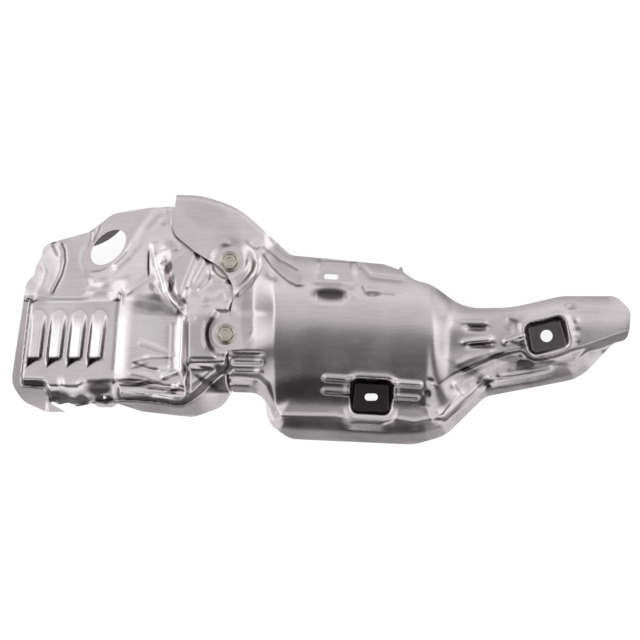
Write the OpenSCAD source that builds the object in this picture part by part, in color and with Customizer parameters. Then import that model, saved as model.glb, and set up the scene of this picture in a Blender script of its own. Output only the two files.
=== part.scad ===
// Exhaust heat shield: two pressed aluminised steel covers, lapped and bolted together,
// lying rim down. X runs along the pipe, Y across it, Z up off the floor.

/* [Sheet] */
// thickness of both pressed covers
sheet_t = 1.0; // [0.8:0.1:1.4]
// free gap between the two covers away from the bolts
lap_gap = 0.8; // [0.5:0.1:1.5]
// depth of the drawn wrinkles
wrinkle = 1.0; // [0:0.1:1.3]

/* [Converter cover] */
// length of the barrel part
barrel_len = 119; // [110:1:130]
// height of the barrel crown above the rim plane
barrel_h = 42; // [38:1:48]
// steepness that the barrel's two flanks tend to
barrel_s = 0.75; // [0.6:0.01:0.9]
// how broad the round of the crown is
barrel_a = 32; // [24:1:40]
// height of the ledge that runs below the barrel
ledge_h = 9; // [7:0.2:11]
// length of the snout over the front pipe
snout_len = 150; // [140:1:165]
// height of the snout above the rim plane
snout_h = 34; // [32:1:37]
// height of the neck plateau between the covers
neck_h = 31.6; // [31:0.2:33]

/* [Turbo cover] */
// height of the louvred face
face_h = 30; // [28:1:33]
// height of the block beside the louvred face
block_h = 34.4; // [32:0.4:38]
// height of the deck round the oval hole
deck_h = 27.5; // [25:0.5:29]
// height of the plateau beside the lap
plateau_h = 34; // [32.5:0.5:35]
// number of pressed louvres
louvre_n = 4; // [3:1:5]
// spacing of the louvres
louvre_pitch = 15.2; // [14:0.1:17]
// length of a louvre
louvre_len = 43; // [38:1:46]
// width of a louvre
louvre_w = 12; // [11:0.2:13]
// height of a louvre
louvre_h = 6; // [3:0.2:6.4]
// long and short diameter of the oval hole
oval_len = 32; // [28:1:34]
oval_w = 19.2; // [16:0.4:20]

/* [Fixing points] */
// bolt pad beside the barrel: length, width and floor height
pad_len = 29.6; // [27:0.4:33]
// width of that pad
pad_w = 24.8; // [23:0.4:28]
// floor height of that pad
pad_h = 8; // [6:0.5:10]
// slot in the pad: length
slot_len = 10; // [8:0.5:12]
// slot in the pad: width
slot_w = 5.4; // [5:0.1:6.6]
// floor height of the snout's pad
snout_pad_h = 20; // [18:0.5:22]
// round hole in the snout's pad
snout_hole_d = 9.2; // [7:0.2:10]
// slot in the top tab: length
tab_slot_len = 11; // [9:0.5:12]
// slot in the top tab: width
tab_slot_w = 3.8; // [3.4:0.2:5]
// height of the stiffening beads
bead_h = 2.2; // [1.5:0.1:2.6]

/* [Bolts] */
// thread diameter of the two joining bolts
bolt_d = 6; // [5:1:6]
// clearance of the bolt holes over the thread
bolt_clear = 0.6; // [0.4:0.1:1]
// width of the hexagon across its flats
hex_af = 10; // [8:0.5:11]
// height of the hexagon
hex_h = 5; // [4:0.5:6]
// diameter of the bolt's flange
flange_d = 16; // [13:0.5:17]
// thickness of the bolt's flange
flange_t = 1.3; // [1:0.1:1.8]
// length of the bolt below its flange
bolt_len = 14; // [12:1:18]
// height of the nut's hexagon
nut_h = 5; // [4:0.5:6]

/* [Hidden] */

steel = [0.76, 0.74, 0.75];
inner_steel = [0.40, 0.38, 0.38];
zinc = [0.72, 0.71, 0.62];

// stations along the pipe: the barrel starts at bx0 and the snout at bx1
bx0 = -36; bx1 = bx0 + barrel_len;
face_k = louvre_n * louvre_pitch / 60;
// drawn position to real position: the barrel, the snout and the louvred face each stretch
function sx(x) = x < -152 ? -152 + (x + 152) * (x < -222 ? 1 : face_k) - (x < -222 ? 70 * (face_k - 1) : 0)
    : x < bx0 ? x : x < 83 ? bx0 + (x - bx0) * barrel_len / 119 : bx1 + (x - 83) * snout_len / 150;
function S(p) = [sx(p[0]), p[1]];

function lim(v, a, b) = min(max(v, a), b);
function st(a, b, v) = let(t = lim((v - a) / (b - a), 0, 1)) t * t * (3 - 2 * t);
function mx(a, b, t) = a + (b - a) * t;
function hi(a, b, k) = let(h = max(k - abs(a - b), 0) / k) max(a, b) + h * h * k / 4;
function lo(a, b, k) = -hi(-a, -b, k);
function bell(v, w) = exp(-(v / w) * (v / w));
function rise(v, w) = let(t = lim(v / w, 0, 1)) 1 - (1 - t) * (1 - t);
function tb(v, T, i = 0) = v <= T[0][0] ? T[0][1] : i >= len(T) - 1 ? T[len(T) - 1][1]
    : v < T[i + 1][0] ? mx(T[i][1], T[i + 1][1], st(T[i][0], T[i + 1][0], v)) : tb(v, T, i + 1);
function seg(p, a, b) = let(d = b - a, t = lim(((p - a) * d) / (d * d), 0, 1)) norm(p - a - d * t);
function seg_side(p, a, b) = let(d = b - a, t = lim(((p - a) * d) / (d * d), 0, 1), q = p - a - d * t)
    [norm(q), d[0] * q[1] - d[1] * q[0]];
// distance to an open line of corners, positive on the left of one who walks it
function path_side(p, L) = let(D = [for (i = [0:len(L) - 2]) seg_side(p, L[i], L[i + 1])],
    m = min([for (q = D) q[0]]), q = D[search(m, D, 1, 0)[0]]) q[1] < 0 ? -m : m;
function side(p, a, b) = let(d = b - a) (d[0] * (p[1] - a[1]) - d[1] * (p[0] - a[0])) / norm(d);
function turned(p, c, a) = let(d = p - c) [d[0] * cos(a) + d[1] * sin(a), d[1] * cos(a) - d[0] * sin(a)];
function box_gap(p, c, half, a, r) = let(q = turned(p, c, a), u = abs(q[0]) - half[0] + r,
    v = abs(q[1]) - half[1] + r) norm([max(u, 0), max(v, 0)]) + min(max(u, v), 0) - r;
function bead(p, a, b, w, h) = let(d = seg(p, a, b) * 2 / w) d < 1 ? h * pow(1 - d * d, 2) : 0;
function ridge(p, a, b, w, h) = let(L = norm(b - a), q = turned(p, a, atan2(b[1] - a[1], b[0] - a[0])))
    h * bell(q[1], w * 0.6) * st(-w, w * 0.5, q[0]) * st(L + w, L - w * 0.5, q[0]);

// corner list [x, y, radius] to a closed line with rounded corners
function rounded(P, n) = [for (i = [0:len(P) - 1]) let(p = [P[i][0], P[i][1]],
    a = P[(i + len(P) - 1) % len(P)], b = P[(i + 1) % len(P)],
    u = ([a[0], a[1]] - p), v = ([b[0], b[1]] - p), lu = norm(u), lv = norm(v),
    ang = acos(lim(u * v / lu / lv, -1, 1)),
    t = min(P[i][2] / tan(ang / 2), 0.49 * min(lu, lv)), r = t * tan(ang / 2))
    for (q = P[i][2] <= 0.05 || t < 0.05 ? [p] : let(w = (u / lu + v / lv) / norm(u / lu + v / lv),
        c = p + w * (r / sin(ang / 2)), p0 = p + u / lu * t - c, p1 = p + v / lv * t - c,
        a0 = atan2(p0[1], p0[0]), da = (atan2(p1[1], p1[0]) - a0 + 540) % 360 - 180)
        [for (k = [0:n]) c + r * [cos(a0 + da * k / n), sin(a0 + da * k / n)]]) q];

// bolt stations and the height of their seats
upper_c = [-67.73, 43.58]; upper_z = 29.5;
lower_c = [-70.73, -10.65]; lower_z = 31;
ear_r = max(10.3, flange_d / 2 + 2);
bolt_hole = bolt_d + bolt_clear;
pad_c = S([38.77, -58.35]); snout_pad_c = S([170.62, -12]); tab_c = S([8.4, 32.25]); tab_h = 38;
oval_c = S([-158.85, 54.6]);

conv_line = [for (c = [[-108.6, 93.9, 1.5], [-88.5, 93.38, 45], [-60, 84, 67.5], [-22.12, 48.52, 9],
    [48, 41.77, 9],
    [58.95, 37.8, 0.38], [60.15, 39.9, 0.45], [61.95, 39.3, 0.45], [62.1, 36.15, 0.38],
    [70.5, 30, 18.75], [83.25, 26.62, 22.5], [108.75, 8.62, 37.5], [144, 9.38, 90], [181.5, 18, 45],
    [222.75, 18, 10.5], [234, 7.5, 10.5], [232.5, -15.75, 6.75], [222.75, -17.25, 6],
    [197.25, -44.25, 33.75], [125.25, -58.12, 16.5], [95.25, -87.75, 30], [71.25, -94.65, 18.75],
    [-22.5, -90.38, 18], [-40.12, -78, 18], [-41.25, -55.5, 16.5], [-66, -54.75, 2.25],
    [-68.62, -48, 6], [-68.62, -27, 0.75]]) [sx(c[0]), c[1], c[2]]];
seam_line = [[-68.7, 7.12, 0], [-65.25, 13.5, 6], [-65.25, 25.5, 10.5], [-69.9, 34.12, 7.5],
    [-76.5, 40.88, 4.5], [-93, 50.62, 22.5], [-108, 63, 15], [-114.38, 76.5, 10.5]];
turbo_line = [for (c = [[-111, 85.12, 0], [-127.5, 84.38, 15], [-155.25, 79.88, 15], [-167.25, 70.5, 7.5],
    [-173.25, 66, 6], [-196.5, 59.62, 10.5], [-207, 56.62, 7.5], [-210, 47.25, 3],
    [-213.75, 40.5, 3], [-215.25, 33.75, 2.25], [-221.25, 28.5, 10.5], [-234, -48, 18],
    [-225, -61.88, 18], [-207.75, -69.6, 10.5], [-192.75, -69.75, 0.3], [-204.75, -63.23, 0.75],
    [-202.88, -61.73, 0.75], [-197.25, -64.12, 3], [-190.5, -62.62, 3.75], [-183.75, -65.62, 3.75],
    [-177.75, -64.5, 3], [-172.88, -62.62, 2.25], [-168, -66, 3], [-157.5, -66.38, 3],
    [-153.75, -63.38, 3], [-135, -69.38, 22.5], [-96, -73.88, 18], [-73.5, -65.62, 18],
    [-65.25, -51.75, 4.5], [-57, -45, 4.5], [-55.5, 60, 10.5], [-61.5, 73.5, 10.5]]) [sx(c[0]), c[1],
        c[2]]];
conv_edge = concat(rounded(conv_line, 4),
    [for (a = [-75:-15:-285]) lower_c + ear_r * [cos(a), sin(a)]],
    rounded(seam_line, 4));
// the converter cover's edge over the other cover, from below upwards
lap_line = concat([[-66, -54.75], [-68.62, -48], [-68.62, -27]],
    [for (a = [-75:-15:-285]) lower_c + ear_r * [cos(a), sin(a)]],
    [for (c = [for (i = [1:len(seam_line) - 1]) seam_line[i]]) [c[0], c[1]]], [[-108.6, 93.9]]);
// lower edge of the converter cover: foot and top of the rim's wall, and the crease under the snout
foot_line = [for (c = [[-66, -49.5], [-47.25, -53.25], [-37.5, -66.75], [-29.25, -81.38], [-15, -82.5],
    [18.75, -84],
    [48.75, -85.88], [79.5, -84.6], [92.1, -80.25], [120, -57], [125.25, -53.62], [161.25, -47.62],
    [191.25, -40.88], [202.5, -34.5], [213, -24], [234, -18.75]]) S(c)];
edge_line = [for (c = [[-66, -42], [-46.5, -44.25], [-40.5, -49.5], [-33, -67.5], [-29.25, -72.9],
    [11.25, -74.02],
    [23.7, -78.38], [46.05, -79.5], [57.3, -75.75], [70.95, -78.38], [94.5, -74.25], [118.5, -51.38],
    [135, -44.25], [161.25, -40.88], [187.5, -34.5], [202.5, -24], [234, -13.5]]) S(c)];
flank_line = [for (c = [[87.75, -48.75], [97.5, -41.25], [109.5, -36.45], [127.12, -28.2], [139.2, -23.77],
    [151.5, -21.45], [162, -28.5], [177, -25.88], [189, -21], [210, -15.75], [234, -12]]) S(c)];

// sections of the converter cover: crown line, crown height, steepness and round of the flanks, ledge
crown_y = [for (c = [[-45, 12], [-36, 11.4], [83, 4.9], [92, -4], [100, -9], [112, -9], [125, -6],
    [150, -1],
    [180, 3], [232, 4]]) S(c)];
crown_z = [for (c = [[-45, barrel_h], [84, barrel_h], [97, barrel_h - 4.5], [125, snout_h],
    [150, snout_h - 2.5],
    [180, snout_h - 5.5], [232, snout_h - 12]]) S(c)];
upper_s = [for (c = [[-45, barrel_s], [81, barrel_s], [96, barrel_s + 0.2], [125, barrel_s + 0.1],
    [232, barrel_s + 0.05]]) S(c)];
lower_s = [for (c = [[-45, barrel_s], [82, barrel_s], [95, barrel_s * 0.67], [125, barrel_s * 0.67],
    [160, barrel_s * 0.8], [232, barrel_s * 0.8]]) S(c)];
flank_a = [for (c = [[-45, barrel_a], [84, barrel_a], [98, barrel_a - 6], [125, barrel_a - 10],
    [232, barrel_a - 16]]) S(c)];
ledge_z = [for (c = [[-66, ledge_h + 4.4], [-48, ledge_h + 1.9], [-36, ledge_h], [85, ledge_h],
    [110, ledge_h + 0.9],
    [135, ledge_h + 1.4], [165, ledge_h + 0.4], [190, ledge_h - 1.1], [232, ledge_h - 2.6]]) S(c)];
ledge_s = [for (c = [[-66, 0.9], [-46, 0.6], [-36, 0.25], [232, 0.25]]) S(c)];

function fall(d, s, a) = let(e = s * max(d, 0)) sqrt(a * a + e * e) - a;
function barrel_z(x, y) = let(c = lookup(x, crown_y), a = lookup(x, flank_a))
    lookup(x, crown_z) - fall(c - y, lookup(x, lower_s), a) - fall(y - c, lookup(x, upper_s), a)
    - 5.5 * st(bx1 - 0.5, bx1 + 14, x) * st(8, -26, y) * mx(1, 0.3, st(bx1 + 14, bx1 + 42, x));
function neck_z(y) = lo(neck_h - 1.3 * st(1.5, 7.5, y) + 0.14 * max(y - 8.2, 0),
    neck_h - 0.86 * (-23.2 - y), 2);
function formed(x, y) = let(b = barrel_z(max(x, bx0 + 2), y)
    - (let(d = max(-path_side([x, y], flank_line), 0)) 3.2 * st(0, 3.2, d) + 0.5 * d) * st(bx1 + 3, bx1
        + 11, x))
    x < bx0 + 2 ? mx(neck_z(y), b, pow(lim((x - bx0 + 13.5) / 15.5, 0, 1), 1.6)) : b;
// the lower edge: flat rim, wall between its foot and its top, ledge
function edged(p, z) = let(f = path_side(p, foot_line), e = path_side(p, edge_line),
    top = lookup(p[0], ledge_z),
    t = lim(f / max(f - min(e, 0), 0.01), 0, 1),
    low = max(mx(3.2, top, t) + 0.26 * min(f, 0) + lookup(p[0], ledge_s) * lim(e, 0, 22), sheet_t))
    e > 0 ? min(hi(z, low, 1.6), top + 2 * e + 0.6) : low;

pad_beads = [[4.5, -43.88, 24, -45], [3.75, -53.62, 24, -54.75], [55.5, -47.4, 75, -48.75],
    [57, -57.75, 73.5, -58.8]];
late_beads = [[139.5, -16.12, 154.5, -11.25], [-64.12, -31.12, -44.25, -31.5],
    [-64.12, -39, -45.75, -39.45]];
function beads(p, L, w, h) = len(L) == 0 ? 0 : max([for (b = L) bead(p, S([b[0], b[1]]), S([b[2], b[3]]),
    w, h)]);

// recessed pads with their collars, and the level tab at the upper edge
function padded(p, z) = let(f = box_gap(p, pad_c, [pad_len, pad_w] / 2, -3, 5),
    a = path_side(p, edge_line) > -2 ? hi(z, pad_h + 3.2 - 0.55 * pow(max(f - 4.5, 0), 1.5), 1.2) : z,
    b = a + beads(p, pad_beads, 7.2, bead_h) + 1.6 * bell(f - 3, 2.6) * st(-6, 9, p[1] - pad_c[1]),
    c = mx(b, pad_h, st(1.4, -2, f)),
    g = box_gap(p, snout_pad_c, [14.5, 11.5], 14, 5))
    mx(c + 1.2 * bell(g - 2.8, 2), snout_pad_h, st(1.4, -2, g)) + beads(p, late_beads, 7.2, bead_h);
function tabbed(p, z) = mx(z, tab_h, st(2.5, -1.5, box_gap(p, S([12, 36]), [13.2, 8.4], -3, 3)));
function tongued(p, z) = mx(z, 31.5 - 0.03 * (p[1] - 60),
    st(-4, 11, (p[1] - 37) * 0.92 - (p[0] + 68) * 0.62) * st(-14, -50, p[0]));
function seated(p, z, c, s, r, w) = mx(z, s, st(w, 0, norm(p - c) - flange_d / 2 - r));
conv_folds = [[87, -75, 102, -65.62, 6, 1.8], [102, -65.62, 118.5, -50.25, 6, 2.2],
    [119.25, -50.25, 130.5, -44.25, 4.5, 2.2], [132.75, -43.5, 177, -36, 5.25, 1.5],
    [108, -5.62, 126.75, -6, 6, -2.4], [105, -17.25, 129.75, -14.62, 4.5, 1.5],
    [109.5, -19.88, 130.5, -18, 5.25, -2.2], [-46.5, 48, -47.25, 35.25, 4.5, 2.2],
    [-47.25, 35.25, -63, 18, 4.5, 2.2], [-51, 42, -63, 25.5, 3.75, -1.4],
    [-42, 43.5, -22.5, 27, 6.75, 1.4], [-68.25, -25.2, -42, -25.5, 3.75, -2.2],
    [-3, 16.12, 18, 15.38, 8.25, -2.4], [-4.5, 25.12, 22.5, 24, 6, 1.5],
    [-111, 94.5, -74.25, 89.62, 6, -1.6], [-74.25, 89.62, -21, 48, 6, -1.4]];

// height of the converter cover's upper face
function conv_z(p) = let(
    z = tongued(p, tabbed(p, padded(p, edged(p, formed(p[0], p[1])))) + wrinkle * sum_folds(p, conv_folds)))
    seated(p, seated(p, z, upper_c, upper_z, 3.4, 5), lower_c, lower_z, 3.6, 8);

// left cover: deck, sloping flange, louvred face, block, crest, plateau, torn lower edge
rim_z = [[-67.5, 2.4], [-48, 6.5], [-18.8, 12.5], [15, 17], [60, 21.5]];
flange_line = [for (c = [[-202.5, 63], [-196.5, 45.75], [-196.5, 39], [-198.75, 32.25], [-203.25, 24],
    [-213, 15.75]]) S(c)];
crest_line = [[-120, 90], [-124.5, 63], [-123.75, 51], [-118.5, 32.25], [-111.75, 15], [-105.75, 9],
    [-100.88, 1.5], [-100.12, -60]];
crest_w = [[1.5, 3.2], [15, 6], [43.5, 7.5], [67.5, 10.5]];
foot_turbo = [[-151.5, -60], [-131.25, -61.12], [-109.5, -64.73], [-103.5, -64.27], [-97.12, -61.12],
    [-84, -49.5], [-69, -37.12], [-52.5, -24]];
top_y = [[-217.5, 12.4], [-210, 14.6], [-135, 14.6], [-121.5, 12.4], [-111, 6.8], [-100.5, 1.5]];
top_w = [[-152, 3], [-144, 4.5], [-127.5, 7.1], [-111, 4.5], [-100.5, 1.5]];
low_y = [for (c = [[-225, -44.62], [-209.25, -45], [-203.25, -52.5], [-183.75, -52.88], [-174, -46.88],
    [-156, -45],
    [-135, -44.25], [-127.5, -46.5], [-100.5, -48.75]]) S(c)];
low_w = [[-225, 6], [-203, 9], [-184, 9], [-174, 15], [-156, 15], [-150, 6], [-100, 6]];
folds = [[-124.5, 49.5, -115.5, 22.5, 5.25, 2.4], [-115.5, 22.5, -105, 7.5, 5.25, 2.2],
    [-115.5, 47.25, -112.5, 30, 5.25, -2.2], [-91.5, 51, -103.5, 20.25, 5.25, -2.3],
    [-98.25, 24, -106.12, 11.25, 4.5, -2.6], [-85.5, 45, -97.5, 22.5, 3.75, 1.3],
    [-112.5, 84.75, -144.75, 48, 6.75, 1.3], [-128.4, 54.75, -128.4, 32.25, 3.75, -1.7],
    [-166.5, 29.25, -143.25, 29.25, 6.75, 1.5], [-193.95, 60, -191.25, 40.5, 3.75, -2.2],
    [-208.5, 47.25, -213, 19.5, 5.25, 1.6], [-103.5, 3, -105.38, -40.5, 5.25, 1.6],
    [-100.12, 1.5, -100.5, -40.5, 3.75, -1.6], [-141.38, -32.25, -119.25, -38.25, 3.75, -1.7],
    [-120, -44.25, -104.25, -38.25, 5.25, 1.9], [-111.75, -53.25, -106.5, -46.5, 4.5, 2.6],
    [-98.25, -28.88, -69, -28.12, 3, -1.3], [-204, -57.75, -190.5, -60.75, 6, -2.2],
    [-186.75, -57, -186.75, -64.5, 4.5, 2], [-179.25, -57, -179.25, -65.25, 5.25, -1.8],
    [-172.5, -55.5, -172.5, -63.75, 4.5, 2], [-164.25, -57.75, -162.75, -66, 5.25, -1.6]];
louvre_y = [-240, -13.88][1];
function louvres(p) = max([for (i = [0:louvre_n - 1])
    let(q = turned(p, [-152 - 14.5 * face_k - i * louvre_pitch, louvre_y], -7.5), w = louvre_w / 2,
    e = q[1] > 0 ? norm([q[0], max(q[1] - louvre_len / 2 + w, 0)]) / w
      : abs(q[0]) / w + max(-q[1] - louvre_len / 2 + 7.5 + 4 * q[0] / w, 0) / 8)
    louvre_h * st(1, 0.5, e) * st(louvre_len * 0.5, -louvre_len * 0.3, q[1])]);
function deck_z(p, rim) = let(s = side(p, [-165, 33], [-199, -2.5]), f = -path_side(p, flange_line),
    d = deck_h + 2.6 * st(0, 6.8, s) + 6.4 * st(4.5, 25.5, s) * st(-162, -145.5, p[0])
      + 2.4 * st(0, 13.5, side(p, [-148.5, 17.6], [-181, -5.4])))
    mx(mx(d, rim + 3.4, st(-1.5, 2.5, f)), rim, st(6, 12.8, f));
function face_z(p) = let(b = block_h - 0.9 * pow(max(p[0] + 127.5, 0) / 25.5, 2))
    mx(face_h + 0.0133 * (p[0] + 217.5), b, rise(side(p, [-154.5, -60], [-148.88, 18]) * -1, 12.8));
function boxed(p) = let(x = p[0], y = p[1], rim = lookup(y, rim_z), below = lookup(x, top_y) - y,
    d = deck_z(p, rim), f = face_z(p),
    a = x < -150.8 ? mx(d, f, st(-2.2, 1.2, below)) : mx(d, f,
        pow(lim(below / lookup(x, top_w), 0, 1), 0.8)),
    b = mx(a, rim, st(-1, 2.2, side(p, S([-224.25, -52.5]), S([-216.38, 15]))) * st(18, 14, y)),
    ground = mx(30.5 - 1.5 * st(61.5, 71, y), plateau_h, st(19.5, 1.5, y)))
    mx(b, ground, pow(lim(path_side(p, crest_line) / lookup(y, crest_w), 0, 1), 0.75));
function edge_below(p, z) = let(x = p[0], y = p[1], t = lim((tb(x, low_y) - y) / lookup(x, low_w), 0, 1),
    torn = mx(z, x < -207 ? min(lookup(y, rim_z), z) : 4, 1 - pow(1 - t, 1.35)),
    band = mx(z, block_h - 6.4, st(0, 1, t)) + 2.4 * st(-51.8, -57.8, y),
    plate = mx(z, 25.5 + 0.17 * (y + 39), st(-27.8, -39, y)),
    flange = mx(2 + 0.22 * max(y + 72.8, 0), 2 + 0.9 * max(y + 55, 0), st(-96, -72, x)))
    y > -22.5 ? z : x < -151.5 ? torn : mx(flange, mx(band, plate, st(-101, -97.5, x)),
        pow(lim(path_side(p, foot_turbo) / 5.2, 0, 1), 0.85));
function oval_e(p) = let(q = turned(p, oval_c, 45)) norm([q[0] / (oval_len / 2 + 5),
    q[1] / (oval_w / 2 + 5)]);
function pressed(p) = let(z = edge_below(p, boxed(p)) + louvres(p) + wrinkle * sum_folds(p, folds))
    max(mx(z, deck_h, st(1.12, 1.0, oval_e(p))), sheet_t + 0.2);
function sum_folds(p, F, i = 0) = i >= len(F) ? 0 : let(f = F[i], r = 2 * f[4])
    (p[0] < min(f[0], f[2]) - r || p[0] > max(f[0], f[2]) + r ? 0
    : ridge(p, S([f[0], f[1]]), S([f[2], f[3]]), f[4], f[5])) + sum_folds(p, F, i + 1);
// vertical thickness that gives the sheet its true thickness on a slope
function slope(a, b, c) = sqrt(1 + pow((b - a) / 2, 2) + pow((c - a) / 2, 2));
function conv_t(p, z) = sheet_t * min(slope(z, conv_z(p + [2, 0]), conv_z(p + [0, 2])), 3);
recess_line = [[-80.25, 5.25], [-85.88, -4.5], [-86.55, -11.25], [-85.5, -18.75], [-82.2, -24],
    [-78, -28.88],
    [-66, -29.25]];
function recessed(p, z) = let(d = path_side(p, recess_line))
    d > 0 && p[0] > -88 && p[1] < 7 && p[1] > -30 ? min(z,
        mx(plateau_h, lower_z - sheet_t, pow(lim(d / 4.5, 0, 1), 0.8))) : z;
function turbo_z(p) = let(z = recessed(p, pressed(p))) p[0] < -118 ? z : let(
    lap = st(3.5, 0.6, -path_side(p, lap_line)) * st(96, 90, p[1]),
    a = lap > 0 ? let(c = conv_z(p)) mx(z, min(z, max(c - conv_t(p, c) - lap_gap, sheet_t)), lap) : z,
    b = mx(a, lower_z - sheet_t, st(7.5, 5, norm(p - lower_c) - flange_d / 2)))
    mx(b, upper_z - sheet_t, st(6.5, 4, norm(p - upper_c) - flange_d / 2));
function turbo_t(p, z) = sheet_t * min(slope(z, turbo_z(p + [2, 0]), turbo_z(p + [0, 2])), 3);

// forming grid, shared by both covers: columns lean with the louvres, rows follow both edges
louvre_cols = [for (i = [louvre_n - 1:-1:0], k = [-0.5, -0.36, -0.2, 0.2, 0.36])
    -152 - 14.5 * face_k + (k - i) * louvre_pitch];
cols = concat([sx(-236), sx(-231), sx(-226), sx(-222.5)], louvre_cols,
    [-152 - 14.5 * face_k + 0.5 * louvre_pitch, -155, -150.5, -146, -140.5, -135, -130, -125, -120, -115,
        -110,
    -105.5, -101.5, -98, -93, -88, -84, -80, -76.5, -73, -69.5, -66, -62.5, -59, -55.5, -51.5, -47, -43,
        -39.5, -36, -31, -25, -18, -11,
    ], [for (x = [-4, 3, 10, 14.5, 18.5, 23, 27.5, 32, 37, 42, 46.5, 51, 55.5, 59.5, 64, 69, 74.5, 80,
    85, 90, 95, 101, 107, 113, 119, 125, 130.5, 136, 141.5, 147, 151.5, 155.5, 159.5, 164, 169, 174, 178.5,
    182.5, 186.5, 191, 197, 203, 209, 215, 221, 228, 236]) sx(x)]);
rows_n = 28;
edge_low = [for (c = [[-240, -69.75], [-206.25, -70.5], [-150, -68.25], [-97.5, -75], [-71.25, -67.5],
    [-63, -57],
    [-51, -58.5], [-39, -81], [-21, -91.5], [71.25, -95.25], [97.5, -88.5], [125.25, -59.25],
    [197.25, -45.75], [222.75, -19.5], [240, -18]]) S(c)];
edge_top = [for (c = [[-240, 57.75], [-207, 57.75], [-167.25, 72], [-155.25, 81], [-127.5, 85.5],
    [-114, 85.5],
    [-106.5, 94.5], [-88.5, 94.5], [-60, 84.75], [-21, 49.5], [48, 42.75], [70.5, 30.75],
    [108.75, 9.75], [144, 10.5], [181.5, 18.75], [222.75, 19.5], [240, 10.5]]) S(c)];
// on the left cover the rows follow the steep wall above its lower edge: top of that wall and its width
wall_y = [[-225, -45], [-209, -45], [-203, -52.5], [-184, -52.9], [-174, -46.9], [-156, -45], [-150, -54],
    [-131, -55], [-109.5, -58.5], [-97, -55], [-84, -42.5], [-69, -30], [-52, -17]];
wall_w = [[-225, 6], [-203, 9], [-184, 9], [-174, 15], [-156, 15], [-150, 6], [-97, 6], [-84, 7.5]];
function row_y(x, j) = let(a = lookup(x, edge_low) - 3, b = lookup(x, edge_top) + 3,
    k = min(1, (b - a) / 120),
    q = x - 4.7 * st(-108, -160, x), l = lookup(q, wall_y), w = lookup(q, wall_w),
    left = j <= 4 ? mx(a, l - w, j / 4) : j <= 8 ? l + [-0.65 * w, -0.33 * w, 0, 3][j - 5]
        : mx(l + 3, b, (j - 8) / (rows_n - 8)),
    right = j <= 8 ? a + k * [0, 4, 8, 12, 15.5, 19, 22.5, 26, 30][j]
        : mx(a + k * 30, b, (j - 8) / (rows_n - 8)))
    mx(left, right, lim((x + 75) / 17, 0, 1));
lean = tan(7.5);
function node_xy(i, j) = let(x = cols[i], y = row_y(x, j))
    [x + lean * (y - louvre_y) * st(-108, -160, x), y];

// one pressed sheet: grid cells for which use[i][j] is true, upper face z, lower face z - t
module sheet(i0, i1, Z, T, use) {
    n = rows_n + 1; m = i1 - i0 + 1;
    function id(i, j, k) = k * n * m + (i - i0) * n + j;
    function on(i, j) = i >= i0 && i < i1 && j >= 0 && j < rows_n && use[i - i0][j];
    pts = concat([for (i = [i0:i1], j = [0:rows_n]) let(p = node_xy(i, j)) [p[0], p[1], Z[i - i0][j]]],
        [for (i = [i0:i1], j = [0:rows_n]) let(p = node_xy(i, j)) [p[0], p[1],
            max(Z[i - i0][j] - T[i - i0][j], 0)]]);
    faces = [for (i = [i0:i1 - 1], j = [0:rows_n - 1]) if (on(i, j)) each concat(
        [[id(i, j, 0), id(i, j + 1, 0), id(i + 1, j + 1, 0)],
            [id(i, j, 0), id(i + 1, j + 1, 0), id(i + 1, j, 0)],
         [id(i, j, 1), id(i + 1, j + 1, 1), id(i, j + 1, 1)],
             [id(i, j, 1), id(i + 1, j, 1), id(i + 1, j + 1, 1)]],
        on(i, j - 1) ? [] : [[id(i, j, 0), id(i + 1, j, 0), id(i + 1, j, 1), id(i, j, 1)]],
        on(i, j + 1) ? [] : [[id(i, j + 1, 0), id(i, j + 1, 1), id(i + 1, j + 1, 1), id(i + 1, j + 1, 0)]],
        on(i - 1, j) ? [] : [[id(i, j, 0), id(i, j, 1), id(i, j + 1, 1), id(i, j + 1, 0)]],
        on(i + 1, j) ? [] : [[id(i + 1, j, 0), id(i + 1, j + 1, 0), id(i + 1, j + 1, 1),
            id(i + 1, j, 1)]])];
    polyhedron(pts, faces, convexity = 12);
}
module trimmed(edge) {
    intersection() {
        children();
        translate([0, 0, -20]) linear_extrude(120, convexity = 6) polygon(edge);
    }
}
module slot_cut(c, len, w, a) {
    translate([c[0], c[1], -1]) rotate([0, 0, a]) {
        for (s = [-1, 1]) translate([s * (len - w) / 2, 0, 0]) cylinder(d = w, h = 80, $fn = 32);
        translate([-(len - w) / 2, -w / 2, 0]) cube([len - w, w, 80]);
    }
}
module bolt_holes() {
    for (c = [upper_c, lower_c]) translate([c[0], c[1], -1]) cylinder(d = bolt_hole, h = 80, $fn = 40);
}
function index_at(x, i = 0) = cols[i] >= x ? i : index_at(x, i + 1);

module converter_cover() {
    i0 = index_at(-118); i1 = len(cols) - 1;
    seam = [[-100, -72], [-30, -72], [-20, -86], [0, -86], [10, -76], [38, -78], [50, -100], [58, -120],
        [100, -120]];
    P = [for (i = [i0:i1]) [for (j = [0:rows_n]) node_xy(i, j)]];
    Z = [for (i = [i0:i1]) [for (j = [0:rows_n]) conv_z(P[i - i0][j])]];
    T = [for (i = [i0:i1]) [for (j = [0:rows_n]) conv_t(P[i - i0][j], Z[i - i0][j])]];
    use = [for (i = [i0:i1 - 1]) [for (j = [0:rows_n - 1]) let(p = P[i - i0 + 1][j]) p[0] > lookup(p[1],
        seam) - 3]];
    color(steel) difference() {
        trimmed(conv_edge) sheet(i0, i1, Z, T, use);
        bolt_holes();
        slot_cut(pad_c, slot_len, slot_w, 0);
        slot_cut(tab_c, tab_slot_len, tab_slot_w, -3);
        translate([snout_pad_c[0], snout_pad_c[1], -1]) cylinder(d = snout_hole_d, h = 80, $fn = 48);
    }
}
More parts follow.
